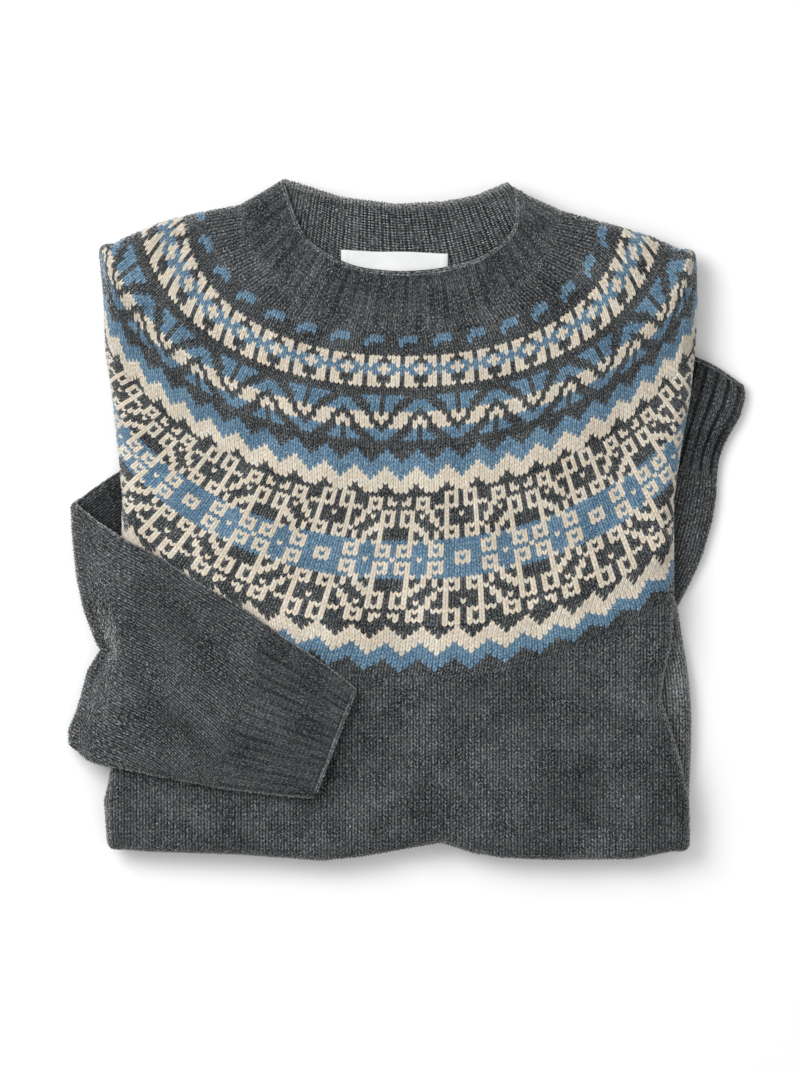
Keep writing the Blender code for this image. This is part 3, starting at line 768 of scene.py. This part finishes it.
# Where it sinks and ends past the yoke's first round: 0.1 is about 5 mm past it.
WEDGE_TUCK = dict(start=-0.05, over=0.12, size=0.9)
WEDGE_END = 0.14
wedge = bmesh.new()
u, v, height, marks = stitch_lines(WEDGE_WALES, WEDGE_ROWS, first_row=-2)
turn = (u / WEDGE_WALES - 0.5) * WEDGE_TURN
bent = np.clip(turn, -QUARTER, QUARTER)
away = v * BODY_ROW
x = BASE_X + (BASE_ACROSS + away) * np.sin(bent)
y = BASE_Y - (BASE_DOWN + away) * np.cos(bent)
y = y + np.abs(turn - bent) * BASE_ACROSS
down, across, power, middle = (column[0] for column in ROUNDS.values())
side = np.abs(x - middle) / across
drop = (ROUNDS_FROM - y) / down
beyond = side**power + np.maximum(drop, 0) ** power - 1  # 0 on the yoke's first round
keep = within(x, y) & (beyond < WEDGE_END)
add_grid(wedge, raised(lay, x, y, height - ramp(beyond, **WEDGE_TUCK)), marks, keep)
finish(
    "shoulder_wedge_knit", wedge, "yoke_front"
)

# ---- Neckband, back half.
# The same rib seen from inside, where its purl bumps stand in columns. It lies lower in the
# neck opening, rolls over the top fold and runs under the front half.

BACK_LOWER = 5.2
BACK_BAND = dict(x0=-97.0, x1=79.0, below=238.0, under_front=1.12, cover=0.9)
BACK_PITCH = 4.95
BACK_ROW = 2.15
BACK_DEEP = 76.0
# Across one column of purl bumps: where each point is, its height between two bumps and
# on one. The two halves of a column bump by turns.
PURL_POINTS = table("place between bump", (
    (0, -1, -1),
    (0.14, -0.9, 0.4),
    (0.3, -0.9, 1.5),
    (0.46, -1, -0.8),
    (0.64, -0.9, 1.4),
    (0.82, -0.9, 0.3),
))


def neck_behind(x):
    """How far the back of the neck reaches past the front's outline, between its peaks."""
    return BACK_LOWER * ramp(x, -104, 12) * ramp(x, 86, -12)


def lay_back(x, y):
    return lay(x, y, BACK_LOWER - BACK_BAND["cover"], neck_behind(x))


top_x = np.linspace(BACK_BAND["x0"], BACK_BAND["x1"], 90)
top_y = read(TOP, "y", "x", top_x) - ROLL + neck_behind(top_x) + ROLL * QUARTER * 1.1
top_length = run_lengths(joined(top_x, top_y))[-1]
column_count = int(round(top_length / BACK_PITCH))
neck_middle = np.array((BASE_X, BASE_Y))
low_edge = neck_edge[neck_edge[:, 1] < BACK_BAND["below"]] - neck_middle
row_count = int(BACK_DEEP / BACK_ROW)
u, point, lines = rib_grid(PURL_POINTS, column_count, row_count)
row = lines / DOWN
height = np.where(lines % DOWN == 1, PURL_POINTS["bump"][point], PURL_POINTS["between"][point])
height = height * uneven(u, row, 0.5, 1.2)
height = height + 2 * LOOSE * CHANCE.standard_normal(height.shape)
marks = stitch_marks(u, row, height)
top = along_path(top_x, top_y, u / column_count)
low = neck_middle + along_path(*low_edge.T, u / column_count) * BACK_BAND["under_front"]
share = (row / row_count)[..., None]
plan = top * (1 - share) + low * share
x, y = plan[..., 0], plan[..., 1]
neckband = bmesh.new()
add_grid(neckband, raised(lay_back, x, y, 0.6 * height), marks)
finish("neckband_back_knit", neckband, "neckband_back")

# ---- Neck label.
# A bare white woven tape, its ends folded under, caught down at its ends inside the back
# of the neck. The front neckband covers its lower part.

LABEL = dict(x0=-50.6, x1=29.6, low=181.5, top_left=202.2, top_right=199.8)
LABEL_THICK = 0.9
LABEL_FOLD = 5.0  # mm of each end that is double
across = np.linspace(0, 1, 97)[None, :]
up = np.linspace(0, 1, 25)[:, None]
x = LABEL["x0"] + (LABEL["x1"] - LABEL["x0"]) * across + 0 * up
top = LABEL["top_left"] + (LABEL["top_right"] - LABEL["top_left"]) * across
top = top + 0.3 * np.cos(across * math.pi * 3.1)
y = LABEL["low"] + (top - LABEL["low"]) * up
from_end = np.minimum(x - LABEL["x0"], LABEL["x1"] - x)
wave = 0.35 * np.sin(across * math.pi * 4.2 + 0.6) * up + 0.3 * np.sin(across * math.pi * 1.3)
fold = 0.35 * ease((LABEL_FOLD + 0.5 - from_end) / 0.8)
border = -0.5 * ease(1 - from_end / 1.2) - 0.5 * ease(1 - (top - y) / 1.2)
z = lay_back(x, y)[..., 2] + 1.25 + wave + fold + border
tape = bmesh.new()
add_grid(tape, joined(x, y, z), stitch_marks(across * 80, up * 20, 0 * z))
bmesh.ops.solidify(tape, geom=tape.faces[:], thickness=LABEL_THICK * MM)

# Smooth white tape with a fine cross rib and faint unevenness.
white_tape, nodes, links, shader, place = new_material("white_tape", 0.6, 0.2)
slow = nodes.new("ShaderNodeTexNoise")
slow.inputs["Scale"].default_value = 60.0
links.new(place, slow.inputs["Vector"])
share, low, high, result = new_mix(nodes)
low.default_value = (0.60, 0.61, 0.62, 1.0)
high.default_value = (0.86, 0.86, 0.86, 1.0)
links.new(slow.outputs["Fac"], share)
links.new(result, shader.inputs["Base Color"])
threads = nodes.new("ShaderNodeTexWave")
threads.bands_direction = "Y"
threads.inputs["Scale"].default_value = 420.0
threads.inputs["Distortion"].default_value = 0.4
links.new(place, threads.inputs["Vector"])
add_bump(nodes, links, shader, threads.outputs["Fac"], 0.35, 0.0002)
finish(
    "neck_label_tape",
    tape,
    "neck_label",
    yarns=(white_tape,),
)

# ---- Left sleeve and its cuff.
# A tube in stocking stitch, pressed flat, with a two by two ribbed cuff knitted on. It
# leaves the armhole at the side, folds over it and lies across the front.

TUBE = 7.4
SLEEVE_LEFT = table("x0 y0 x1 y1 turn", (
    (-204, 43, -206, -166, 0),
    (-218, 36.5, -222, -164, 0),
    (-232, 26, -236, -162, 0),
    (-243.2, 17, -245, -168, 0),
    (-243.2, 15, -245, -169, 40),
    (-243.2, 13, -245, -170, 90),
    (-243.2, 11, -245, -172, 140),
    (-243.2, 9, -244.5, -175, 180),
    (-236, 2, -239, -180.5, 180),
    (-228, -4, -231, -183.2, 180),
    (-220, -9.5, -222, -185, 180),
    (-212, -14.5, -211, -187, 180),
    (-200, -20.5, -198, -189.5, 180),
    (-185, -27.8, -184, -192.8, 180),
    (-163, -43.5, -170, -195.5, 180),
    (-143, -54.5, -160, -197, 180),
    (-120, -67.5, -150, -199, 180),
    (-97.1, -85.3, -139.3, -201.3, 180),
    (-78, -97.5, -116, -203.8, 180),
    (-56, -112.5, -92, -206.8, 180),
    (-38.2, -127.2, -69.6, -208.4, 180),
))
FOLD_RADIUS = (TUBE + 2.0) / 2
# How far the fold's outline lies in from its straight run, down the side.
FOLD_IN = table("y inward", (
    (-172, -2), (-158, -2.5), (-145, 3), (-135, 6),
    (-115, 11), (-104, 17.5), (-97.5, 21.5), (-90, 17),
    (-67, 8), (-43, 2.5), (-13, -1), (10, -2.5),
))
FOLD_IN_GROWS = dict(start=-208.0, over=-38.0)  # to the left
# As CREASES, for the sleeve on the front.
SLEEVE_CREASES = table("x0 y0 x1 y1 rise reach", (
    (-238, -97, -165, -92, -2.3, 25),
    (-236, -60, -180, -30, 0.9, 26),
    (-236, -135, -190, -150, 1.4, 22),
    (-228, -176, -170, -190, -0.9, 12),
    (-150, -110, -95, -150, -0.8, 26),
    (-120, -85, -60, -125, 0.8, 16),
    (-70, -115, -48, -150, 0.7, 22),
))
SHOWN_TURN = 2.4  # how far round its edge the tube's outer face is knitted
SLEEVE_CLEAR = 0.9  # mm between the front and the sleeve on it
# From its fold the sleeve climbs on to the front, by mm past the pile's left side.
CLIMB = dict(start=-35.0, over=43.0, size=PILE_TOP + SLEEVE_CLEAR - 2 * FOLD_RADIUS)
# The tube's edges and how far it has turned over, in even steps along it.
tube_steps = np.arange(600)
row = np.arange(len(SLEEVE_LEFT["turn"]))
at = np.linspace(0, row[-1], len(tube_steps))
x0, y0, x1, y1, tube_turn = (np.interp(at, row, column) for column in SLEEVE_LEFT.values())
tube_edges = [smoothed(joined(x, y), 160) for x, y in ((x0, y0), (x1, y1))]
left_widths = np.linalg.norm(tube_edges[1] - tube_edges[0], axis=1)


def tube_middle(share, at):
    """Points of the tube's middle surface, by share across it and step along it."""
    upper, lower = (at_length(at, tube_steps, edge) for edge in tube_edges)
    x, y = np.moveaxis(upper, -1, 0) * (1 - share) + np.moveaxis(lower, -1, 0) * share
    turn = np.interp(at, tube_steps, np.radians(tube_turn))
    over = turn / math.pi
    inward = read(FOLD_IN, "inward", "y", y) * ramp(x, **FOLD_IN_GROWS)
    climb = ramp(x - read(SIDES, "left", "y", y), **CLIMB) * ease(over)
    z = FOLD_RADIUS * (1 - np.cos(turn)) + TUBE / 2 + climb
    z = z + over * creased(SLEEVE_CREASES, x, y)
    return joined(x + inward - FOLD_RADIUS * np.sin(turn), y, z)


left_lengths = run_lengths(tube_middle(0.5, tube_steps))


def left_skin(along, across, shown=SHOWN_TURN, face=1.0):
    """Points of one face of the tube, where it faces, and how far each turns past it."""
    at = np.interp(along, left_lengths, tube_steps)
    width = np.interp(at, tube_steps, left_widths)
    radius = TUBE / 2
    flat = np.clip(across, radius, width - radius)
    over = (across - flat) / radius
    turn = np.clip(over, -shown, shown)
    ahead = np.minimum(at + 1, tube_steps[-1])
    behind = np.maximum(at - 1, 0)
    east = tube_middle(flat / width, ahead) - tube_middle(flat / width, behind)
    south = tube_middle((flat + 0.5) / width, at) - tube_middle((flat - 0.5) / width, at)
    normal = face * unit(np.cross(south, east))
    out = normal * np.cos(turn)[..., None] + unit(south) * np.sin(turn)[..., None]
    place = tube_middle((flat + radius * np.sin(turn)) / width, at)
    return place + normal * (radius * np.cos(turn))[..., None], out, over


CUFF_LENGTH = 76.0
SLEEVE_WALE = 4.5
SLEEVE_ROW = 3.2
EDGE_WALES = 2.5  # spare ones past each edge of the tube
UNDER_CUFF = 2  # rows of the sleeve that pass under the cuff's first row
FLOOR_GAP = 0.15
INSIDE_LENGTH = 70.0
INSIDE_PAINTED_SHADE = 0.4  # painted shade on the tube's inner face, its purl side, far into the fold


def above_floor(points):
    points[..., 2] = np.maximum(points[..., 2], FLOOR_GAP)
    return points


sleeve_length = left_lengths[-1] - CUFF_LENGTH
wales = int(left_widths.max() / SLEEVE_WALE) + 6
sleeve_rows = int(sleeve_length / SLEEVE_ROW)
u, v, height, marks = stitch_lines(wales, sleeve_rows + UNDER_CUFF)
sleeve = bmesh.new()
place, out, over = left_skin(v * SLEEVE_ROW, (u - EDGE_WALES) * SLEEVE_WALE)
sunk = ease(v - sleeve_rows + 1) * 0.9
points = above_floor(place + out * (height - sunk)[..., None])
add_grid(sleeve, points, marks, np.abs(over) <= SHOWN_TURN, out=out)
# The tube's other face, which shows between its two parts where it folds.
inside_rows = int(INSIDE_LENGTH / SLEEVE_ROW)
u, v, height, marks = stitch_lines(wales, inside_rows)
shown = math.pi - SHOWN_TURN + 0.1
place, out, over = left_skin(v * SLEEVE_ROW, (u - EDGE_WALES) * SLEEVE_WALE, shown, face=-1.0)
points = above_floor(place + out * height[..., None])
# Painted shade: past its first few wales the inner face is darkened.
marks[..., 2] = np.clip(marks[..., 2] + INSIDE_PAINTED_SHADE * ease((u - 3.5) / 1.5), -1, 1)
add_grid(sleeve, points, marks, np.abs(over) <= shown, out=out)
finish("sleeve_left_knit", sleeve, "sleeve_left")


def edge_roll(place, ahead, out, degrees):
    """Lines of points that carry an edge round its roll."""
    lines = []
    for angle in np.radians(degrees):
        down = EDGE_ROLL * (1 - math.cos(angle))
        lines.append(place + ahead * EDGE_ROLL * math.sin(angle) - out * down)
    return lines


def last_repeated(lines, count):
    return np.concatenate([lines, np.repeat(lines[-1:], count, axis=0)])


def end_of(skin, across, at, step):
    """A cuff's end line, the way on from it and where it faces."""
    place, out = skin(np.full_like(across, at), across)[:2]
    inner = skin(np.full_like(across, at - step), across)[0]
    return place, (place - inner) / abs(step), out


cuff_rows = int(CUFF_LENGTH / SLEEVE_ROW)
cuff_ribs = int(left_widths[-120] / RIB_PITCH) + 2
cuff_end = left_lengths[-1] - EDGE_ROLL
u, v, height, marks = rib_lines(cuff_ribs, cuff_rows, relief=0.95, groove=(0.12, 0.5))
along = np.minimum(cuff_end - CUFF_LENGTH + v * (CUFF_LENGTH / cuff_rows), cuff_end)
cuff_width = np.interp(along, left_lengths, left_widths)
across = cuff_width * (1.08 * (u + 0.1) / cuff_ribs - 0.04)
place, out, over = left_skin(along, across)
points = [place + out * height[..., None]]
end_place, ahead, end_out = end_of(left_skin, across[-1:], cuff_end, 2.0)
ahead = unit(ahead)
points += edge_roll(end_place, ahead, end_out, (*ROLL_STEPS, 180.0))
points.append(end_place - end_out * 2 * EDGE_ROLL - ahead * 9.0)
marks, out, over = (last_repeated(lines, len(points) - 1) for lines in (marks, out, over))
cuff = bmesh.new()
add_grid(cuff, np.concatenate(points), marks, np.abs(over) <= SHOWN_TURN, out=out)
place, ahead, out = end_of(left_skin, np.linspace(0, left_widths[-1], 120), cuff_end, 2.0)
add_cast_off(cuff, place + ahead * 0.2, ahead, out)
finish("cuff_left_knit", cuff, "cuff_left")

# ---- Right sleeve and its cuff.
# The other sleeve is folded behind, so only its outer edge and the end of its ribbed cuff
# stand out beyond the right side. It lies flat on what the pile rests on.

OUTER_EDGE = table("x y", (
    (252.3, 101), (253.4, 92), (249.5, 78), (240, 62),
    (234, 48), (232, 34), (231.5, 20), (228.5, 0),
    (220.5, -28), (211.5, -47.5), (204.5, -61), (198, -72),
))
# The cuff's end edge rises inwards and bows up along its middle, less so further in.
END_SLOPE = dict(rise=-0.56, fade=150.0)
END_BOW = dict(rise=2.6, middle=22.0, reach=30.0, fade=60.0)
RIGHT_INNER = 177.0
RIGHT_CUFF = 78.0
RIGHT_REACH = 82.0  # how far in from its edge the sleeve is knitted
RIGHT_UNDER = 40.0  # and how far round the edge and under
edge = even_path(OUTER_EDGE, 240, 12)
edge_lengths = run_lengths(edge)
straight = smoothed(edge, 6000)  # what the ribs away from the edge run along
RIBS_STRAIGHT = 34.0  # mm in from the edge


def edge_section(across, radius):
    """Inward distance, height, and outward direction of a flattened tube's outer edge."""
    turn = np.clip(-across / radius, 0, math.pi)
    inward = radius * (1 - np.sin(turn)) + np.maximum(across, 0)
    inward = inward + np.maximum(-across - math.pi * radius, 0)
    return inward, radius * (1 + np.cos(turn)), np.sin(turn), np.cos(turn)


def right_skin(along, across, height=0.0):
    """Points of the right sleeve and where they face; along runs from the cuff's end."""
    from_edge = ease(across / RIBS_STRAIGHT)[..., None]
    line = at_length(along, edge_lengths, edge) * (1 - from_edge)
    line = line + at_length(along, edge_lengths, straight) * from_edge
    x0, y0 = np.moveaxis(line, -1, 0)
    bow = END_BOW["rise"] * ease(1 - np.abs(across - END_BOW["middle"]) / END_BOW["reach"])
    y0 = y0 + bow * ease(1 - along / END_BOW["fade"])
    slope = END_SLOPE["rise"] * ease(1 - along / END_SLOPE["fade"])
    size = np.hypot(1, slope)
    inward, up, face_side, face_up = edge_section(across, TUBE / 2)
    x = x0 - inward / size
    y = y0 - inward * slope / size
    out = joined(face_side / size, face_side * slope / size, face_up)
    points = joined(x, y, up + 0.1) + out * np.asarray(height)[..., None]
    return above_floor(points), out


sleeve = bmesh.new()
rows = int((edge_lengths[-1] - RIGHT_CUFF) / SLEEVE_ROW) - 1
wales = int((RIGHT_REACH + RIGHT_UNDER) / SLEEVE_WALE)
u, v, height, marks = stitch_lines(wales, rows, first_row=-UNDER_CUFF)
across = u * SLEEVE_WALE - RIGHT_UNDER
sunk = ease(1 - v) * 0.5
points, out = right_skin(RIGHT_CUFF + v * SLEEVE_ROW, across, height - sunk)
add_grid(sleeve, points, marks, points[..., 0] > RIGHT_INNER, out=out)
finish("sleeve_right_knit", sleeve, "sleeve_right")
cuff = bmesh.new()
rows = int((RIGHT_CUFF - EDGE_ROLL) / SLEEVE_ROW)
ribs = int((RIGHT_REACH + RIGHT_UNDER) / RIB_PITCH)
u, v, height, marks = rib_lines(ribs, rows, relief=1.1, groove=(0.5, 0.95))
height = height * (0.6 + 0.4 * ease(v / 6))
along = RIGHT_CUFF - v * (RIGHT_CUFF - EDGE_ROLL) / rows
across = u * RIB_PITCH - RIGHT_UNDER
scallop = 0.7 * np.cos(2 * math.pi * (u - 0.34)) * ease(1 - along / 14.0)
points, out = right_skin(np.maximum(along, EDGE_ROLL) - scallop, across, height)
place, ahead, end_out = end_of(right_skin, across[-1:], EDGE_ROLL, -EDGE_ROLL)
curl = edge_roll(place, unit(ahead), end_out, ROLL_STEPS)
points = above_floor(np.concatenate([points, *curl]))
marks, out = (last_repeated(lines, len(ROLL_STEPS)) for lines in (marks, out))
add_grid(cuff, points, marks, points[..., 0] > RIGHT_INNER, out=out)
end_line = end_of(right_skin, np.linspace(-6.0, 60.0, 100), EDGE_ROLL, -EDGE_ROLL)
add_cast_off(cuff, *end_line)
finish("cuff_right_knit", cuff, "cuff_right")

# ---- Side fold at the right.
# Below the sleeve the body's side is folded under on a slant, so a strip of it shows as a
# soft round fold beyond the front's edge.

SIDE_FOLD = table("x y", (
    (199, -56), (202, -64), (205.8, -90), (210.2, -116),
    (212.3, -140), (212.3, -170), (211, -200), (209.8, -231),
))
SIDE_RADIUS = 6.4
SIDE_PAINTED_LIGHT = 0.35  # painted highlight: the strip along the fold is lightened as if it caught the light
SIDE_REACH = 24.0  # how far in from its edge the strip is knitted
SIDE_UNDER = 48.0
SIDE_INNER = 179.0
fold_edge = even_path(SIDE_FOLD, 160, 30)
fold_lengths = run_lengths(fold_edge)
wales = int((SIDE_REACH + SIDE_UNDER) / BODY_WALE)
rows = int(fold_lengths[-1] / BODY_ROW) - 1
u, v, height, marks = stitch_lines(wales, rows)
along = v * BODY_ROW
inward, up, face_side, face_top = edge_section(u * BODY_WALE - SIDE_UNDER, SIDE_RADIUS)
x, y = np.moveaxis(at_length(along, fold_lengths, fold_edge), -1, 0)
x = x - inward
out = joined(face_side, 0.0, face_top)
# Painted highlight on the strip along the fold.
marks[..., 2] -= SIDE_PAINTED_LIGHT
points = joined(x, y, up + 0.1) + out * height[..., None]
side_fold = bmesh.new()
add_grid(side_fold, above_floor(points), marks, x > SIDE_INNER, out=out)
finish("side_fold_knit", side_fold, "side_fold_right")

# ---- The layers beneath.
# The back, the turned-in sides and the turned-up lower body, of the same plain knitting.
# Their folded edges show as soft rounds under the front's roll, and the lowest lies flat.

# Each folded edge: the height of its middle, its radius and how far in from the front's
# outline it lies.
LAYER_EDGES = table("z radius inset", (
    (11.6, 3.3, 3.4),
    (4.1, 3.7, 1),
))
# Where the sleeves and the side fold leave the pile: a box in plan, and its top.
SLEEVE_ROOMS = table("x0 x1 y0 y1 top", (
    (-265, -202, -172, 50, 8),
    (172, 200, -63, 141, 8),
    (200, 265, -63, 112, 8),
    (176, 265, -228, -58, 13.6),
))
OUTLINE_STEPS = 1200


def in_rooms(x, y, z):
    inside = np.zeros(x.shape, bool)
    for x0, x1, y0, y1, top in zip(*SLEEVE_ROOMS.values()):
        inside |= (x > x0) & (x < x1) & (y > y0) & (y < y1) & (z < top)
    return inside


# The plan of the front's outline, all round, with its corners rounded.
side_y = np.linspace(-240, 196, 120)
top_x = np.linspace(-222, 205, 120)
bottom_x = np.linspace(-218, 203, 120)
up = joined(read(SIDES, "left", "y", side_y), side_y)
along_top = joined(top_x, read(TOP, "y", "x", top_x))
down = joined(read(SIDES, "right", "y", side_y), side_y)[::-1]
along_bottom = joined(bottom_x, read(BOTTOM, "y", "x", bottom_x))[::-1]
outline = np.concatenate([up, along_top, down, along_bottom, up[:1]])
outline = along_path(*outline.T, np.linspace(0, 1, OUTLINE_STEPS + 1))
ring = outline[:-1]
for _ in range(30):
    ring += 0.25 * (np.roll(ring, 1, 0) + np.roll(ring, -1, 0) - 2 * ring)
outline[-1] = outline[0]
outline_length = run_lengths(outline)[-1]
layers = bmesh.new()
for z, radius, inset in zip(*LAYER_EDGES.values()):
    wales = int(outline_length / BODY_WALE)
    rows = int(math.pi * radius / BODY_ROW) + 3
    u, v, height, marks = stitch_lines(wales, rows)
    at = (u / wales) * OUTLINE_STEPS
    number = np.arange(OUTLINE_STEPS + 1)
    place = at_length(at, number, outline)
    ahead = unit(at_length((at + 3) % OUTLINE_STEPS, number, outline) - place)
    out_x, out_y = -ahead[..., 1], ahead[..., 0]
    turn = np.clip((v - 1.5) * BODY_ROW / radius, -0.5, math.pi + 0.5)
    flat_in = 6.0 * (ramp(turn, 0.2, -0.7) + ramp(turn, math.pi - 0.2, 0.7))
    outward = radius * np.sin(turn) - radius - inset - flat_in
    rise_out = np.cos(np.clip(turn, 0, math.pi))
    away = outward + 0.8 * height * np.sin(np.clip(turn, 0, math.pi))
    x = place[..., 0] + out_x * away
    y = place[..., 1] + out_y * away
    points = joined(x, y, z + (radius + 0.5 * height) * rise_out)
    out = joined(out_x, out_y, rise_out)
    keep = ~in_rooms(x, y, points[..., 2])
    add_grid(layers, above_floor(points), marks, keep, out=out)
finish("layer_edges_knit", layers, "folded_layers")

# The lowest layer, flat where the pile rests.
BACK_INSET = 8.0  # mm in from the front's outline
x_line = np.arange(-216, 206, BODY_WALE / 2)
y_line = np.arange(-238, 224, BODY_ROW)
x, y = np.meshgrid(x_line, y_line)
low = read(BOTTOM, "y", "x", x) + BACK_INSET
high = read(TOP, "y", "x", x) - BACK_INSET
west = read(SIDES, "left", "y", y) + BACK_INSET
east = read(SIDES, "right", "y", y) - BACK_INSET
keep = (y > low) & (y < high) & (x > west) & (x < east)
keep &= ~in_rooms(x, y, np.zeros_like(x))
wale = np.broadcast_to(np.arange(len(x_line)) / 2, x.shape)
row = np.broadcast_to(np.arange(len(y_line))[:, None], x.shape)
height = LEG_HEIGHT[np.arange(len(x_line)) % 2] + 0 * x
back = bmesh.new()
points = joined(x, y, FLOOR_GAP + 0.3 - 0.3 * height)
add_grid(back, points, stitch_marks(wale, row, height), keep, out=(0, 0, -1))
finish("back_knit", back, "folded_layers")

# ---- Floor, light and camera.

bpy.ops.mesh.primitive_plane_add(size=6.0, location=(0, 0, -0.0002))
floor = bpy.context.active_object
floor.name = "floor"
paper, _, _, paper_shader, _ = new_material("pale_floor", 0.9, 0.0)
paper_shader.inputs["Base Color"].default_value = (0.95, 0.95, 0.95, 1.0)
floor.data.materials.append(paper)

world = bpy.data.worlds.new("studio")
world.use_nodes = True
sky = world.node_tree.nodes["Background"]
sky.inputs["Color"].default_value = (1, 1, 1, 1)
sky.inputs["Strength"].default_value = 0.74
bpy.context.scene.world = world

key = bpy.data.lights.new("soft_key", "AREA")
key.size = 1.3
key.energy = 34.0
lamp = bpy.data.objects.new("soft_key", key)
lamp.location = (-1.2, 0.9, 1.6)
lamp.rotation_euler = (-lamp.location).to_track_quat("-Z", "Y").to_euler()
bpy.context.scene.collection.objects.link(lamp)

VIEW_LENS = 250.0
FILM = 36.0
FRAME_DEPTH = 0.80025  # metres that the picture shows from top to bottom
VIEW_HEIGHT = VIEW_LENS * FRAME_DEPTH / FILM
OUTLINE_HEIGHT = 0.018  # where the pile is widest
lens = bpy.data.cameras.new("camera")
lens.lens = VIEW_LENS
lens.sensor_fit = "VERTICAL"
lens.sensor_height = FILM
camera = bpy.data.objects.new("camera", lens)
camera.location = (-0.0064, -0.0101, VIEW_HEIGHT + OUTLINE_HEIGHT)
bpy.context.scene.collection.objects.link(camera)
bpy.context.scene.camera = camera
bpy.context.scene.view_settings.view_transform = "Standard"
